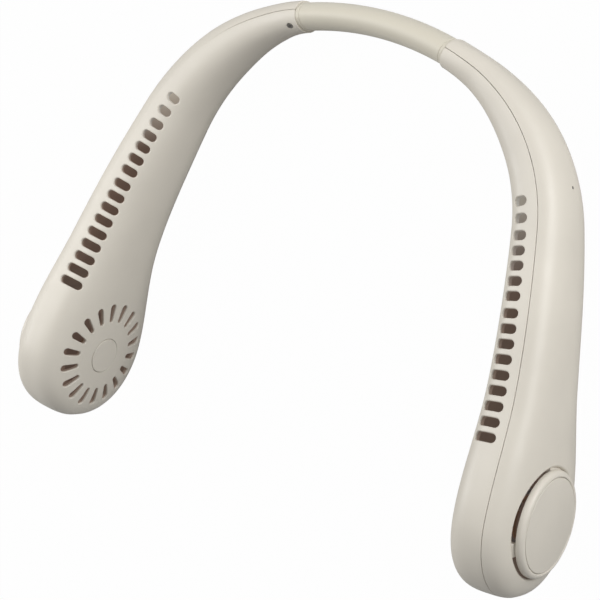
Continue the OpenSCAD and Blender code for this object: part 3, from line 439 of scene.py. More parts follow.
class ShellMesh:
    """Collects a shell's triangles with the shading direction at each corner."""

    def __init__(self, sign):
        self.sign = sign
        self.points, self.faces, self.shade, self.marks = [], [], [], []
        self.count = 0

    def add_points(self, points):
        self.points.append(points)
        self.count += len(points)
        return np.arange(self.count - len(points), self.count)

    def add_faces(self, faces, shade, inner=False):
        """Faces with the shell's own material, or with that of its inside, which is painted shade."""
        self.faces.append(faces)
        self.shade.append(shade)
        self.marks.append(np.full(len(faces), int(inner)))

    def strip(self, a, b, shade_a, shade_b, inner=False):
        """Closed band of triangles from ring a to ring b; the material is on the left of a."""
        a2, b2, shade_a2, shade_b2 = (np.roll(v, -1, 0) for v in (a, b, shade_a, shade_b))
        turn = -1 if self.sign > 0 else 1
        for faces, shade in (((a2, a, b), (shade_a2, shade_a, shade_b)),
                             ((a2, b, b2), (shade_a2, shade_b, shade_b2))):
            self.add_faces(np.stack(faces[::turn], -1), np.stack(shade[::turn], 1), inner)

    def round_edge(self, ring, shade, edge, angles):
        """Rings over a rounded edge, which is its points, normals, directions and rounding."""
        p, nor, away, fillet = edge
        for angle in np.radians(angles):
            new_shade = nor * math.cos(angle) - away * math.sin(angle)
            new = self.add_points(p - nor * fillet + fillet * new_shade)
            self.strip(ring, new, shade, new_shade)
            ring, shade = new, new_shade
        return ring, shade

    def finish(self, name, left):
        m = np.array(rest_matrix(left))
        points = np.concatenate(self.points) @ m[:3, :3].T + m[:3, 3]
        faces, shade = np.concatenate(self.faces), np.concatenate(self.shade) @ m[:3, :3].T
        if left:
            faces, shade = faces[:, ::-1], shade[:, ::-1]
        mesh = bpy.data.meshes.new(name)
        mesh.from_pydata(points.tolist(), [], faces.tolist())
        mesh.polygons.foreach_set("use_smooth", [True] * len(mesh.polygons))
        mesh.polygons.foreach_set("material_index", np.concatenate(self.marks))
        mesh.normals_split_custom_set(unit(shade).reshape(-1, 3).tolist())
        mesh.update()
        return new_object(name, mesh)


def clockwise(loop):
    return loop if area(loop) < 0 else loop[::-1]


def in_hole(places, kind, loop, island):
    """Which of the places lie in an opening; a groove runs round its island."""
    inside = within(places, loop)
    return inside & ~within(places, island) if kind == "groove" else inside


def grid_clear_of(sign, loops, holes):
    """The grid's places that keep clear of the outline and of every opening."""
    rim = np.concatenate(loops)
    tree = KDTree(len(rim))
    for i, p in enumerate(skin(sign, rim[:, 0], rim[:, 1])):
        tree.insert(p, i)
    tree.balance()
    grid = grid_places()
    keep = within(grid, loops[0])
    for (kind, *_), loop in zip(holes, loops[1:]):
        keep &= ~in_hole(grid, kind, loop, loops[-1])
    grid = grid[keep]
    near = np.array([tree.find(p)[2] for p in skin(sign, grid[:, 0], grid[:, 1])])
    return grid[near > RIM_CLEAR]


def flat_triangles(flat, loops):
    """Triangles over the flat places, with the outlines as edges, and each outline's places."""
    edges, spans, at = [], [], 0
    for loop in loops:
        n = len(loop)
        spans.append(np.arange(at, at + n))
        edges += [(at + i, at + (i + 1) % n) for i in range(n)]
        at += n
    _, _, tris, source, _, _ = delaunay_2d_cdt([Vector(p) for p in flat], edges, [], 0, FINE_SLACK, True)
    source = np.array([o[0] if o else -1 for o in source])
    tris = source[np.array(tris)]
    return tris[(tris >= 0).all(1)], spans


def across_ring(sign, p, nor):
    """Direction in the skin, square to the ring."""
    return unit(sign * np.cross(nor, unit(np.roll(p, -1, 0) - np.roll(p, 1, 0))))


def make_shell(name, left, sign, holes, edge_fillet):
    """Half shell with rounded openings. Each hole is (kind, outline, fillet, island's outline)."""
    border, edge_rounding = edge_loop(sign, edge_fillet, left)
    loops = [border] + [clockwise(hole[1]) for hole in holes]
    loops += [clockwise(island) for kind, _, _, island in holes if kind == "groove"]
    flat = np.concatenate(loops + [grid_clear_of(sign, loops, holes)])
    tris, spans = flat_triangles(flat, loops)
    on_rim = (tris < sum(len(loop) for loop in loops)).all(1)
    centres = flat[tris].mean(1)
    solid, groove = np.ones(len(tris), bool), np.zeros(len(tris), bool)
    solid[on_rim] = within(centres[on_rim], loops[0])
    for (kind, *_), loop in zip(holes, loops[1:]):
        inside = in_hole(centres, kind, loop, loops[-1])
        if kind == "groove":
            groove = inside
        solid &= ~inside
    if (area(flat[tris[0]]) < 0) != (sign > 0):
        tris = tris[:, ::-1]

    shell = ShellMesh(sign)
    points = skin(sign, flat[:, 0], flat[:, 1])
    normals = skin_normal(sign, flat[:, 0], flat[:, 1])
    outside = shell.add_points(points)
    inside = shell.add_points(points - WALL * normals)
    shell.add_faces(outside[tris[solid]], normals[tris[solid]])
    # The inner skin takes the inside material: painted shade.
    back = tris[solid | groove][:, ::-1]
    shell.add_faces(inside[back], -normals[back], True)

    kinds = [("edge", edge_rounding)] + [(hole[0], hole[2]) for hole in holes]
    for (kind, fillet), span in zip(kinds, spans):
        p, nor = points[span], normals[span]
        fillet = np.broadcast_to(fillet, len(p))[:, None]
        away = across_ring(-sign, p, nor)
        ring, _ = shell.round_edge(outside[span], nor, (p, nor, away, fillet), ROUNDING)
        wall = p - away * fillet
        if kind == "recess":
            # The recess takes the inside material throughout: painted shade.
            ring = recess_rings(shell, ring, wall - nor * fillet, away)
            shell.strip(ring, inside[span], -unit(nor), -unit(nor), True)
        elif kind == "groove":
            span_b = spans[-1]
            p_b, nor_b = points[span_b], normals[span_b]
            away_b = across_ring(sign, p_b, nor_b)
            floor = shell.add_points(wall - nor * GROOVE_T)
            floor_b = shell.add_points(p_b - nor_b * GROOVE_T - away_b * fillet)
            shell.strip(ring, floor, -away, -away)
            shell.strip(floor, floor_b, nor, nor_b)
            ring, shade = shell.round_edge(floor_b, -away_b, (p_b, nor_b, away_b, fillet), ROUNDING[::-1])
            shell.strip(ring, outside[span_b], shade, nor_b)
        else:
            # A through opening's wall below the lit depth takes the inside material: painted shade.
            lit = shell.add_points(wall - nor * LIT_WALL)
            low = shell.add_points(wall - nor * WALL)
            shell.strip(ring, lit, -away, -away)
            shell.strip(lit, low, -away, -away, kind == "through")
            shell.strip(low, inside[span], -nor, -nor, kind == "through")
    return shell.finish(name, left)


def recess_rings(shell, ring, top, away):
    """Wall, floor and intake hole of the round recess, all in the inside material: painted shade. Returns
    the last ring.
    """
    origin, _, _, ez = pod_plane()
    ray = unit((top - origin) - np.outer((top - origin) @ ez, ez))
    up, shade = np.tile(ez, (len(ray), 1)), -away
    steps = ((RECESS_R, RECESS_Z + RECESS_EASE, -ray), (RECESS_R - RECESS_EASE, RECESS_Z, up),
             (INTAKE_R + RECESS_EASE, RECESS_Z, up), (INTAKE_R, RECESS_Z - RECESS_EASE, -ray),
             (INTAKE_R, RECESS_Z - FLOOR_T, -ray))
    for radius, level, new_shade in steps:
        new = shell.add_points(origin + ray * radius + ez * level)
        shell.strip(ring, new, shade, new_shade, True)
        ring, shade = new, new_shade
    low = shell.add_points(origin + ray * (RECESS_R + RECESS_WALL) + ez * (RECESS_Z - FLOOR_T))
    shell.strip(ring, low, -up, -up, True)
    return low


# Working by hand in edit mode

def clear_selection():
    if bpy.context.mode != "OBJECT":
        bpy.ops.object.mode_set(mode="OBJECT")
    bpy.ops.object.select_all(action="DESELECT")


def choose(piece):
    """Makes the piece the only one selected, and the active one."""
    clear_selection()
    bpy.context.view_layer.objects.active = piece
    piece.select_set(True)


def apply_transform():
    bpy.ops.object.transform_apply(location=True, rotation=True, scale=True)


def begin_edit(piece, kind="FACE"):
    choose(piece)
    bpy.ops.object.mode_set(mode="EDIT")
    bpy.ops.mesh.select_mode(type=kind)
    bpy.ops.mesh.select_all(action="DESELECT")


def pick_all():
    bpy.ops.mesh.select_all(action="SELECT")


def pick(piece, kind, test):
    """Selects the faces, edges or vertices that pass the test."""
    bpy.ops.mesh.select_mode(type=kind)
    bpy.ops.mesh.select_all(action="DESELECT")
    work = bmesh.from_edit_mesh(piece.data)
    for part in {"FACE": work.faces, "EDGE": work.edges, "VERT": work.verts}[kind]:
        if test(part):
            part.select_set(True)
    work.select_flush_mode()
    bmesh.update_edit_mesh(piece.data)


def end_edit(piece):
    choose(piece)
    apply_transform()
    bpy.ops.object.shade_smooth_by_angle(angle=SMOOTH)


def seat(piece, matrix):
    """Puts a piece that was modelled upright at the origin in its place."""
    piece.matrix_world = matrix
    choose(piece)
    apply_transform()
    if matrix.to_3x3().determinant() < 0:
        piece.data.flip_normals()


def axis_matrix(left):
    """Upright at the origin in metres to the fan's axis, Z outwards, X along the arm."""
    origin, along, up, out = pod_plane()
    return rest_matrix(left) @ axes_at(origin, along, -up, out) @ Matrix.Scale(1 / MM, 4)


def disc(name, radius, depth, top, sides=DISC_SIDES):
    clear_selection()
    bpy.ops.mesh.primitive_cylinder_add(
        vertices=sides, radius=radius * MM, depth=depth * MM, end_fill_type="NGON",
        location=(0, 0, (top - depth / 2) * MM))
    piece = bpy.context.active_object
    piece.name = piece.data.name = name
    apply_transform()
    return piece


def at_level(level):
    return lambda part: all(abs(v.co.z - level * MM) < LEVEL_SLACK for v in part.verts)


def bevel_ring(piece, level, radius, width, segments):
    """Rounds the ring of edges at a level and radius."""
    level_test = at_level(level)

    def on_ring(edge):
        return level_test(edge) and all(abs(v.co.xy.length - radius * MM) < RING_SLACK for v in edge.verts)
    pick(piece, "EDGE", on_ring)
    bpy.ops.mesh.bevel(offset=width * MM, offset_type="OFFSET", segments=segments, profile=0.5,
                       affect="EDGES", clamp_overlap=False)


# Finishes

def set_inputs(node, **values):
    """Gives a node's inputs, named with _ for a space, a value each or an output to link to."""
    for name, value in values.items():
        socket = node.inputs[name.replace("_", " ")]
        if isinstance(value, bpy.types.NodeSocket):
            node.id_data.links.new(value, socket)
        else:
            socket.default_value = value


def add_node(tree, kind, output, **values):
    """Adds a node with these inputs and returns one of its outputs."""
    node = tree.nodes.new("ShaderNode" + kind)
    set_inputs(node, **values)
    return node.outputs[output]


def new_material(name):
    material = bpy.data.materials.new(name)
    material.use_nodes = True
    tree = material.node_tree
    tree.nodes.clear()
    out = tree.nodes.new("ShaderNodeOutputMaterial")
    shader = tree.nodes.new("ShaderNodeBsdfPrincipled")
    set_inputs(out, Surface=shader.outputs["BSDF"])
    return material, tree, shader


def grain(tree, scale, detail, stretch=None, space="Object"):
    """Noise on the object's own coordinates, in cycles per metre, or on its UV map."""
    place = add_node(tree, "TexCoord", space)
    if stretch:
        place = add_node(tree, "Mapping", "Vector", Vector=place, Scale=stretch)
    return add_node(tree, "TexNoise", "Fac", Vector=place, Scale=scale, Detail=detail)


def ramp_colour(tree, fac, colour, dark, light):
    """The colour between two levels of it."""
    ramp = tree.nodes.new("ShaderNodeValToRGB")
    for element, place, level in zip(ramp.color_ramp.elements, (0.35, 0.65), (dark, light)):
        element.position = place
        element.color = (*(min(c * level, 1.0) for c in colour), 1)
    set_inputs(ramp, Fac=fac)
    return ramp.outputs["Color"]


def ramp_value(tree, fac, low, high):
    return add_node(tree, "MapRange", "Result", Value=fac, From_Min=0.3, From_Max=0.7,
                    To_Min=low, To_Max=high)


def bump(tree, fac, strength, distance):
    return add_node(tree, "Bump", "Normal", Height=fac, Strength=strength, Distance=distance)


def mix_shaders(tree, fac, one, two):
    mix = tree.nodes.new("ShaderNodeMixShader")
    for output, socket in zip((fac, one, two), mix.inputs):
        tree.links.new(output, socket)
    return mix.outputs["Shader"]


def plastic(name, colour, rough=0.42, texture=TEXTURE, depth=TEXTURE_DEPTH, spread=0.03, clouds=26, glow=0):
    """Moulded plastic: faint clouds in the colour and a fine matt texture.

    The glow stands for the light that reaches inner surfaces through the thin shell.
    """
    material, tree, shader = new_material(name)
    tint = ramp_colour(tree, grain(tree, clouds, 3), colour, 1 - spread, 1 + spread)
    set_inputs(shader, Base_Color=tint,
               Roughness=ramp_value(tree, grain(tree, clouds * 5, 3), rough - 0.04, rough + 0.05),
               Normal=bump(tree, grain(tree, texture, 2), 0.25, depth))
    if glow:
        set_inputs(shader, Emission_Color=tint, Emission_Strength=glow)
    return material


def graded(name, colour, far_colour, near, far, glow):
    """Plastic whose tint goes over to the far colour along the object's Y axis, in metres: painted shade
    that turns to painted light, with a glow for light that comes through the shells.
    """
    material, tree, shader = new_material(name)
    along = add_node(tree, "SeparateXYZ", "Y", Vector=add_node(tree, "TexCoord", "Object"))
    cloud = grain(tree, 60, 3)
    mix = tree.nodes.new("ShaderNodeMix")
    mix.data_type = "RGBA"
    set_inputs(mix, Factor=add_node(tree, "MapRange", "Result", Value=along, From_Min=near, From_Max=far),
               A=ramp_colour(tree, cloud, colour, 0.94, 1.05),
               B=ramp_colour(tree, cloud, far_colour, 0.94, 1.05))
    tint = mix.outputs["Result"]
    set_inputs(shader, Base_Color=tint, Emission_Color=tint, Emission_Strength=glow, Roughness=0.55,
               Normal=bump(tree, grain(tree, TEXTURE, 2), 0.25, TEXTURE_DEPTH))
    return material


def inner_light(shader, level):
    """Faint warm light on parts deep inside, as it comes through the shells."""
    set_inputs(shader, Emission_Color=(0.3, 0.2, 0.15, 1), Emission_Strength=level)


def metal(name, colour, rough=0.3, scale=900.0, stretch=(1, 1, 1), glow=0.0):
    """Turned or drawn metal with fine marks."""
    material, tree, shader = new_material(name)
    inner_light(shader, glow)
    fac = grain(tree, scale, 4, stretch)
    set_inputs(shader, Base_Color=ramp_colour(tree, fac, colour, 0.86, 1.08), Metallic=1.0,
               Roughness=ramp_value(tree, fac, rough - 0.06, rough + 0.1),
               Normal=bump(tree, fac, 0.2, 0.00001))
    return material


def silky(name, colour):
    """Soft sleeve with fine streaks along its length, read from the piece's UV map."""
    material, tree, shader = new_material(name)
    streak = grain(tree, 1.0, 3, (42, 1300, 1), "UV")
    broad = grain(tree, 1.0, 3, (16, 620, 1), "UV")
    set_inputs(shader, Base_Color=ramp_colour(tree, broad, colour, 0.9, 1.04), Sheen_Weight=0.12,
               Roughness=ramp_value(tree, streak, 0.4, 0.56), Normal=bump(tree, streak, 0.35, 0.00005))
    return material


def winding(name, colour, glow):
    """Enamelled wire: fine ridges across the coil, with painted shade darkening the grooves between turns.
    """
    material, tree, shader = new_material(name)
    inner_light(shader, glow)
    place = add_node(tree, "TexCoord", "Object")
    wave = add_node(tree, "TexWave", "Fac", Vector=place, Scale=700, Distortion=1.2)
    set_inputs(shader, Base_Color=ramp_colour(tree, wave, colour, 0.55, 1), Metallic=0.85, Roughness=0.32,
               Normal=bump(tree, wave, 0.4, 0.0001))
    return material


NODE_FINISH = {
    "dark_plastic": lambda: plastic("dark_plastic", (0.18, 0.125, 0.1), 0.5, glow=0.3),
    "black_plastic": lambda: plastic("black_plastic", (0.03, 0.03, 0.03), 0.45),
    # Duct: painted shade, lightening towards the band as painted light where the first slots are shallow;
    # its glow stands for light through the shells.
    "duct": lambda: graded("duct_painted_light_and_shade", (0.23, 0.16, 0.125), (0.8, 0.74, 0.65), 0.02, 0.046, 0.25),
    "anchor": lambda: plastic("anchor_plastic", (0.25, 0.24, 0.22), 0.5),
    "zinc_steel": lambda: metal("zinc_steel", (0.6, 0.6, 0.62), 0.34),
    "steel": lambda: metal("bright_steel", (0.62, 0.62, 0.63), 0.24),
    "black_steel": lambda: metal("black_steel", (0.3, 0.29, 0.27), 0.42),
    "spring_steel": lambda: metal("spring_steel", (0.5, 0.5, 0.52), 0.26, 700, (0.1, 1, 1)),
    "lamination": lambda: metal("lamination", (0.3, 0.3, 0.31), 0.45, 2500, (0.1, 0.1, 1), 0.16),
    "magnet": lambda: plastic("magnet_ferrite", (0.12, 0.11, 0.105), 0.6, glow=0.3),
    "copper": lambda: winding("copper_winding", (0.72, 0.34, 0.14), 0.12),
    "circuit_board": lambda: plastic(
        "circuit_board", (0.2, 0.12, 0.075), 0.38, 900, 0.00003, 0.15, 300, 0.2),
    "cell_wrap": lambda: plastic("cell_wrap", (0.15, 0.28, 0.42), 0.28),
    "cable": lambda: plastic("cable_sheath", (0.04, 0.04, 0.04), 0.5),
    "lens": lambda: plastic("light_pipe", (0.1, 0.095, 0.085), 0.25),
}


LENGTH = {"unit": "LENGTH", "subtype": "DISTANCE"}
TINT = {"subtype": "COLOR", "min": 0, "max": 1}


class FanSizes(bpy.types.PropertyGroup):
    """Sizes of the dressed pieces that the frame leaves open."""
    seam_round: FloatProperty(name="Seam rounding", description="Rounding of the shells' edges at the seam",
                              default=0.00018, **LENGTH)
    slot_round: FloatProperty(name="Slot rounding", description="Rounding round the air slots",
                              default=0.00045, **LENGTH)
    grille_round: FloatProperty(name="Grille rounding", description="Rounding round the grille's slots",
                                default=0.00035, **LENGTH)
    hole_round: FloatProperty(name="Hole rounding", description="Rounding round the small holes",
                              default=0.00022, **LENGTH)
    recess_round: FloatProperty(name="Recess rounding", description="Rounding of the recess's edge",
                                default=0.0011, **LENGTH)
    rim_round: FloatProperty(name="Cap rim rounding", description="Rounding of the cap's outer rim",
                             default=0.0017, **LENGTH)
    band_steps: IntProperty(name="Band steps", description="Sections along the band", default=44, min=8)


class FanFinish(bpy.types.PropertyGroup):
    """Colours and light."""
    shell_colour: FloatVectorProperty(name="Shell", description="Colour of the shells",
                                      default=(0.66, 0.62, 0.545), **TINT)
    # Painted shade: the inside of the shells is given a dark colour for the shade within them.
    inside_shade_colour: FloatVectorProperty(name="Inside", description="Colour inside the shells",
                                       default=(0.25, 0.19, 0.152), **TINT)
    cap_colour: FloatVectorProperty(name="Cap", description="Colour of the caps",
                                    default=(0.67, 0.63, 0.555), **TINT)
    band_colour: FloatVectorProperty(name="Band", description="Colour of the soft band",
                                     default=(0.66, 0.62, 0.52), **TINT)
    glow: FloatProperty(name="Inner light", description="Light that comes through the shells",
                        default=0.24, min=0)
    sky_level: FloatProperty(name="Sky", description="Strength of the even light", default=0.5, min=0)
    key_level: FloatProperty(name="Key light", description="Power of the strongest lamp", default=3.4,
                             min=0, subtype="POWER", unit="POWER")


def mm(value):
    return value / MM


def dress(piece, material, slot, body, node, inside=None):
    """Material, record slot, body and the frame's piece that this one stands for.

    The inside material, painted shade, goes on the faces that the piece has marked with index 1.
    """
    marks = [face.material_index for face in piece.data.polygons]
    piece.data.materials.clear()
    piece.data.materials.append(material)
    if inside:
        piece.data.materials.append(inside)
        piece.data.polygons.foreach_set("material_index", marks)
    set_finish(piece, slot)
    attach(piece, body)
    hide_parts(node)


def slot_places():
    places = [POD_S - SLOT_FROM_FAN]
    for step in reversed(SLOT_STEPS):
        places.insert(0, places[0] - SLOT_PITCH * step)
    return places


def inner_holes(left, sizes):
    """Openings of the inner shell: air slots, grille, button or blank disc, port and screw hole."""
    soft, fine, small = mm(sizes.slot_round), mm(sizes.grille_round), mm(sizes.hole_round)
    for k, s in enumerate(slot_places()):
        length, angle = (a + (b - a) * k / (SLOTS - 1) for a, b in (SLOT_LENGTHS, SLOT_ANGLES))
        flat = rounded_box(length, SLOT_W, SLOT_W / 2, soft)
        yield "through", over_skin(-1, s, angle, flat), soft, None
    for k in range(GRILLE_SLOTS):
        angle = -2 * math.pi * (k + GRILLE_PHASE) / GRILLE_SLOTS
        flat = tapered_slot(GRILLE_IN, GRILLE_OUT, GRILLE_W_IN, GRILLE_W_OUT, angle, fine)
        yield "through", over_pod(-1, flat), fine, None
    flat = circle(SCREW_HOLE_R + small, SMALL_STEP)
    yield "through", over_skin(-1, SCREW_S, SCREW_ANGLES[left], flat), small, None
    if left:
        yield "through", over_pod(-1, circle(BUTTON_R + BUTTON_GAP + small)), small, None
    else:
        stadium = rounded_box(PORT_H, PORT_W, PORT_H / 2, small)
        yield "through", over_skin(-1, USB_S, PORT_ANGLE, stadium), small, None
        reach = BUTTON_R + GROOVE_T + GROOVE_ROUND
        ring = circle(reach)
        island = ring * (BUTTON_R - GROOVE_ROUND) / reach
        yield "groove", over_pod(-1, ring), GROOVE_ROUND, over_pod(-1, island)


def outer_holes(left, sizes):
    """Openings of the outer shell: the cap's recess and the light's pinhole."""
    soft = mm(sizes.recess_round)
    yield "recess", over_pod(1, circle(RECESS_R + soft)), soft, None
    if not left:
        flat = circle(PINHOLE_R + PINHOLE_ROUND, PINHOLE_STEP)
        yield "through", over_skin(1, LIGHT_S, 0, flat), PINHOLE_ROUND, None


class NECKFAN_OT_shells(bpy.types.Operator):
    """Model the four half shells with their slots, grille, recess and seam"""
    bl_idname = "neckfan.shells"
    bl_label = "Shells"

    def execute(self, context):
        sizes, finish = context.scene.neckfan_sizes, context.scene.neckfan_finish
        material = plastic("shell_plastic", finish.shell_colour)
        # The inside material is painted shade, lighter towards the band as painted light.
        inside = graded("shell_inside_painted_light_and_shade", finish.inside_shade_colour, INSIDE_LIT_TINT, *INSIDE_LIT_FADE, finish.glow)
        for left in (True, False):
            side = "left" if left else "right"
            for sign, half, holes in ((-1, "inner", inner_holes), (1, "outer", outer_holes)):
                name = f"{side}_{half}_housing"
                piece = make_shell(name, left, sign, list(holes(left, sizes)), mm(sizes.seam_round))
                dress(piece, material, "shell", f"{side}_arm", f"{side}_{half}_shell", inside=inside)
        return {"FINISHED"}


class NECKFAN_OT_caps(bpy.types.Operator):
    """Model the intake caps with their rim, feet and flat plate"""
    bl_idname = "neckfan.caps"
    bl_label = "Intake caps"

    def execute(self, context):
        sizes, finish = context.scene.neckfan_sizes, context.scene.neckfan_finish
        material = plastic("cap_plastic", finish.cap_colour, 0.4)
        for left in (True, False):
            side = "left" if left else "right"
            cap = self.cap(f"{side}_cap_rim", mm(sizes.rim_round))
            seat(cap, axis_matrix(left))
            dress(cap, material, "cap", f"{side}_arm", f"{side}_intake_cap")
            plate = disc(f"{side}_cap_disc", PLATE_R, PLATE_T, CAP_TOP)
            begin_edit(plate, "EDGE")
            bevel_ring(plate, CAP_TOP, PLATE_R, PLATE_ROUND, 4)
            end_edit(plate)
            seat(plate, axis_matrix(left))
            dress(plate, material, "cap", f"{side}_arm", f"{side}_cap_plate")
        return {"FINISHED"}

    def cap(self, name, rim_round):
        piece = disc(name, CAP_R, CAP_T, CAP_TOP)
        begin_edit(piece)
        pick(piece, "FACE", at_level(CAP_TOP))
        bpy.ops.mesh.inset(thickness=(CAP_R - PLATE_R - PLATE_GAP) * MM, depth=0)
        bpy.ops.mesh.extrude_region_move(TRANSFORM_OT_translate={"value": (0, 0, -PLATE_T * MM)})
        bevel_ring(piece, CAP_TOP, CAP_R, rim_round, 10)
        bevel_ring(piece, CAP_TOP, PLATE_R + PLATE_GAP, SEAT_ROUND, 5)
        bevel_ring(piece, CAP_TOP - CAP_T, CAP_R, CAP_EDGE_ROUND, 3)
        end_edit(piece)
        feet = [self.foot(*place) for place in FEET]
        choose(piece)
        for part in feet:
            part.select_set(True)
        bpy.ops.object.join()
        return piece

    def foot(self, middle, turn, fall):
        """An upright rectangle with a sloping top, spun along the ring under the rim."""
        low, high = RECESS_Z * MM, (CAP_TOP - CAP_T + FOOT_RISE) * MM
        near, far = (CAP_R - FOOT_DEPTH) * MM, (RECESS_R - FOOT_GAP) * MM
        clear_selection()
        bpy.ops.mesh.primitive_plane_add(size=1, location=(0, 0, 0), rotation=(math.pi / 2, 0, 0))
        foot = bpy.context.active_object
        apply_transform()
        bpy.ops.transform.resize(value=(far - near, 1, high - low))
        bpy.ops.transform.translate(value=((near + far) / 2, 0, (low + high) / 2))
        apply_transform()
        begin_edit(foot, "VERT")
        pick_all()
        bpy.ops.mesh.delete(type="ONLY_FACE")
        pick(foot, "VERT", lambda v: v.co.z > (low + high) / 2 and v.co.x > (near + far) / 2)
        bpy.ops.transform.translate(value=(0, 0, -fall * MM))
        pick_all()
        bpy.ops.transform.rotate(value=-math.radians(middle - turn / 2), orient_axis="Z",
                                 center_override=(0, 0, 0))
        bpy.ops.mesh.spin(steps=int(turn / 2), angle=-math.radians(turn), center=(0, 0, 0), axis=(0, 0, 1))
        pick_all()
        bpy.ops.mesh.fill_holes(sides=4)
        bpy.ops.mesh.normals_make_consistent(inside=False)
        bpy.ops.mesh.select_mode(type="EDGE")
        bpy.ops.mesh.select_all(action="DESELECT")
        bpy.ops.mesh.edges_select_sharp(sharpness=FOOT_SHARP)
        bpy.ops.mesh.bevel(offset=FOOT_ROUND * MM, segments=3, affect="EDGES")
        end_edit(foot)
        return foot


class NECKFAN_OT_button(bpy.types.Operator):
    """Model the power button"""
    bl_idname = "neckfan.button"
    bl_label = "Power button"

    def execute(self, context):
        finish = context.scene.neckfan_finish
        top = -(POD_HALF + BUTTON_PROUD)
        piece = disc("power_button_cap", BUTTON_R, BUTTON_T, top + BUTTON_T, BUTTON_SIDES)
        begin_edit(piece)
        pick(piece, "FACE", at_level(top))
        bpy.ops.mesh.inset(thickness=BUTTON_RIM * MM, depth=0)
        bevel_ring(piece, top, BUTTON_R, BUTTON_ROUND, 5)
        pick(piece, "FACE", at_level(top + BUTTON_T))
        bpy.ops.mesh.inset(thickness=(BUTTON_R - STEM_R) * MM, depth=0)
        bpy.ops.mesh.extrude_region_move(TRANSFORM_OT_translate={"value": (0, 0, STEM_L * MM)})
        end_edit(piece)
        seat(piece, axis_matrix(True))
        material = plastic("button_plastic", finish.shell_colour)
        dress(piece, material, "button", "power_button", "power_button")
        return {"FINISHED"}


class NECKFAN_OT_band(bpy.types.Operator):
    """Model the soft band, and copy the band's strip and cable"""
    bl_idname = "neckfan.band"
    bl_label = "Neck band"

    def execute(self, context):
        sizes, finish = context.scene.neckfan_sizes, context.scene.neckfan_finish
        band = self.sleeve(sizes.band_steps)
        band.data.materials.append(silky("band_sleeve", finish.band_colour))
        strip = self.supple("band_strip", "band_spring_strip")
        cable = self.supple("band_cable", "band_harness")
        x, y, z = REST @ Vector((*walk(MOUTH_S)[:2], 0))
        start, end = (-x, y, z), (x, y, z)
        for piece, node, slot in ((band, "neck_band", "band"), (strip, "band_spring_strip", "spring_steel"),
                                  (cable, "band_harness", "cable")):
            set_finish(piece, slot)
            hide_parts(node)
            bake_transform(piece)
            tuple(start)
            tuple(end)
        return {"FINISHED"}

    def supple(self, name, node):
        """A copy of a frame's piece."""
        piece = frame["nodes"][node].copy()
        piece.data = piece.data.copy()
        piece.name = piece.data.name = name
        piece.parent = None
        for key in list(piece.keys()):
            del piece[key]
        bpy.context.scene.collection.objects.link(piece)
        begin_edit(piece, "VERT")
        pick_all()
        bpy.ops.mesh.remove_doubles(threshold=MERGE_SLACK)
        end_edit(piece)
        return piece

    def sleeve(self, steps):
        """An oval outline spun round the band's bend, with a collar and a plug at each end."""
        radius, turn = BENDS[0]
        swing = math.radians(turn) - COLLAR_L / radius
        clear_selection()
        bpy.ops.mesh.primitive_circle_add(vertices=BAND_SIDES, radius=1, fill_type="NOTHING",
                                          location=(0, 0, 0), rotation=(math.pi / 2, 0, math.pi / 2))
        band = bpy.context.active_object
        band.name = band.data.name = "band_sleeve"
        apply_transform()
        bpy.ops.transform.resize(value=(1, BAND_T / 2 * MM, BAND_H / 2 * MM))
        apply_transform()
        begin_edit(band, "VERT")
        centre = (0, -radius * MM, 0)
        for way in (1, -1):
            pick(band, "VERT", lambda v: abs(v.co.x) < MERGE_SLACK)
            bpy.ops.mesh.spin(steps=steps, angle=-way * swing, center=centre, axis=(0, 0, 1))
            for length, scale in COLLAR_STEPS:
                bpy.ops.mesh.spin(steps=1, angle=-way * length / radius, center=centre, axis=(0, 0, 1))
                bpy.ops.transform.resize(value=(scale, scale, scale))
            bpy.ops.mesh.edge_face_add()
        pick_all()
        bpy.ops.mesh.remove_doubles(threshold=FINE_SLACK)
        bpy.ops.mesh.normals_make_consistent(inside=False)
        bpy.ops.object.mode_set(mode="OBJECT")
        self.unwrap(band)
        seat(band, REST @ Matrix.Scale(1 / MM, 4))
        bpy.ops.object.shade_smooth_by_angle(angle=BAND_SMOOTH)
        return band

    def unwrap(self, band):
        """UV in metres: u along the band, v round it."""
        radius = BENDS[0][0] * MM
        layer = band.data.uv_layers.new(name="Streaks")
        for loop in band.data.loops:
            co = band.data.vertices[loop.vertex_index].co
            out = math.hypot(co.x, co.y + radius)
            along = math.atan2(co.x, co.y + radius) * radius
            turn = math.atan2(co.z * BAND_T / BAND_H, out - radius)
            layer.data[loop.index].uv = (along, turn * (BAND_T + BAND_H) / 4 * MM)


class NECKFAN_OT_insides(bpy.types.Operator):
    """Give the frame's own pieces their finishes"""
    bl_idname = "neckfan.insides"
    bl_label = "Inner pieces"

    def execute(self, context):
        made = {slot: finish() for slot, finish in NODE_FINISH.items()}
        slots = {p["node"]: p["material_slot"] for p in frame["record"]["subparts"]}
        pieces = [(node, slots.get(name)) for name, node in frame["nodes"].items()]
        bent = [bpy.data.objects[name] for name in ("band_strip", "band_cable")]
        for piece, slot in pieces + [(piece, piece["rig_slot"]) for piece in bent]:
            if slot in made:
                piece.data.materials.clear()
                piece.data.materials.append(made[slot])
        return {"FINISHED"}


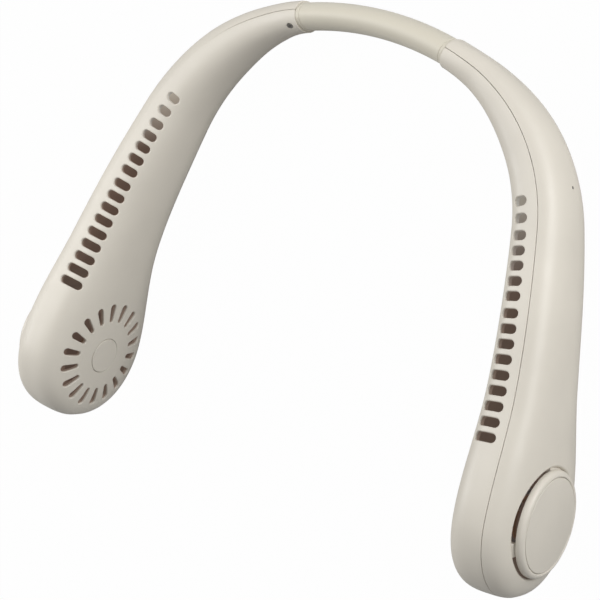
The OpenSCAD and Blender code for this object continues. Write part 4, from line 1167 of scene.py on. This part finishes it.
class NECKFAN_OT_stage(bpy.types.Operator):
    """Set the floor, the soft light and the camera"""
    bl_idname = "neckfan.stage"
    bl_label = "Stage"

    def execute(self, context):
        finish = context.scene.neckfan_finish
        self.floor()
        self.light(context, finish)
        self.camera(context)
        context.scene.view_settings.view_transform = "Standard"
        return {"FINISHED"}

    def floor(self):
        clear_selection()
        bpy.ops.mesh.primitive_plane_add(size=FLOOR_SIZE, location=(0, 0, -FLOOR_DROP))
        floor = bpy.context.active_object
        floor.name = "floor"
        apply_transform()
        material, tree, shader = new_material("pale_floor")
        set_inputs(shader, Base_Color=FLOOR_TINT, Roughness=0.8, Specular_IOR_Level=0.1)
        seen = add_node(tree, "LightPath", "Is Camera Ray")
        level = add_node(tree, "MapRange", "Result", Value=seen, To_Max=BACKDROP)
        both = mix_shaders(tree, level, shader.outputs["BSDF"], add_node(tree, "Emission", "Emission"))
        set_inputs(tree.nodes["Material Output"], Surface=both)
        floor.data.materials.append(material)

    def light(self, context, finish):
        world = bpy.data.worlds.new("studio")
        context.scene.world = world
        world.use_nodes = True
        tree = world.node_tree
        tree.nodes.clear()
        out = tree.nodes.new("ShaderNodeOutputWorld")
        sky = add_node(tree, "Background", "Background", Strength=finish.sky_level)
        plain = add_node(tree, "Background", "Background", Strength=1.0)
        seen = add_node(tree, "LightPath", "Is Camera Ray")
        set_inputs(out, Surface=mix_shaders(tree, seen, sky, plain))
        for name, place, power_share in LAMPS:
            data = bpy.data.lights.new(name, "AREA")
            data.shape, data.size, data.energy = "DISK", LAMP_SIZE, finish.key_level * power_share
            lamp = new_object(name, data)
            lamp.location = place
            lamp.rotation_euler = (-Vector(place)).to_track_quat("-Z", "Y").to_euler()

    def camera(self, context):
        data = bpy.data.cameras.new("photo_camera")
        data.lens, data.sensor_width = LENS, SENSOR
        data.clip_start, data.clip_end = NEAR_CLIP, FAR_CLIP
        camera = new_object("photo_camera", data)
        camera.matrix_world = axes_at(CAMERA_AT, PICTURE_RIGHT, PICTURE_UP, PICTURE_BACK)
        context.scene.camera = camera


class NECKFAN_PT_panel(bpy.types.Panel):
    """Neck fan pieces"""
    bl_idname = "NECKFAN_PT_panel"
    bl_label = "Neck Fan"
    bl_space_type = "VIEW_3D"
    bl_region_type = "UI"
    bl_category = "Neck Fan"

    def draw(self, context):
        layout = self.layout
        for group in (context.scene.neckfan_sizes, context.scene.neckfan_finish):
            for name in group.__annotations__:
                layout.prop(group, name)
        for operator in OPERATORS:
            layout.operator(operator.bl_idname)


OPERATORS = (NECKFAN_OT_stage, NECKFAN_OT_shells, NECKFAN_OT_caps, NECKFAN_OT_button, NECKFAN_OT_band,
             NECKFAN_OT_insides)
CLASSES = (FanSizes, FanFinish) + OPERATORS + (NECKFAN_PT_panel,)


def register():
    for cls in CLASSES:
        bpy.utils.register_class(cls)
    bpy.types.Scene.neckfan_sizes = PointerProperty(type=FanSizes)
    bpy.types.Scene.neckfan_finish = PointerProperty(type=FanFinish)


def unregister():
    del bpy.types.Scene.neckfan_sizes, bpy.types.Scene.neckfan_finish
    for cls in reversed(CLASSES):
        bpy.utils.unregister_class(cls)


def main():
    register()
    bpy.ops.neckfan.stage()
    bpy.ops.neckfan.shells()
    bpy.ops.neckfan.caps()
    bpy.ops.neckfan.button()
    bpy.ops.neckfan.band()
    bpy.ops.neckfan.insides()
    clear_selection()


if __name__ == "__main__":
    main()
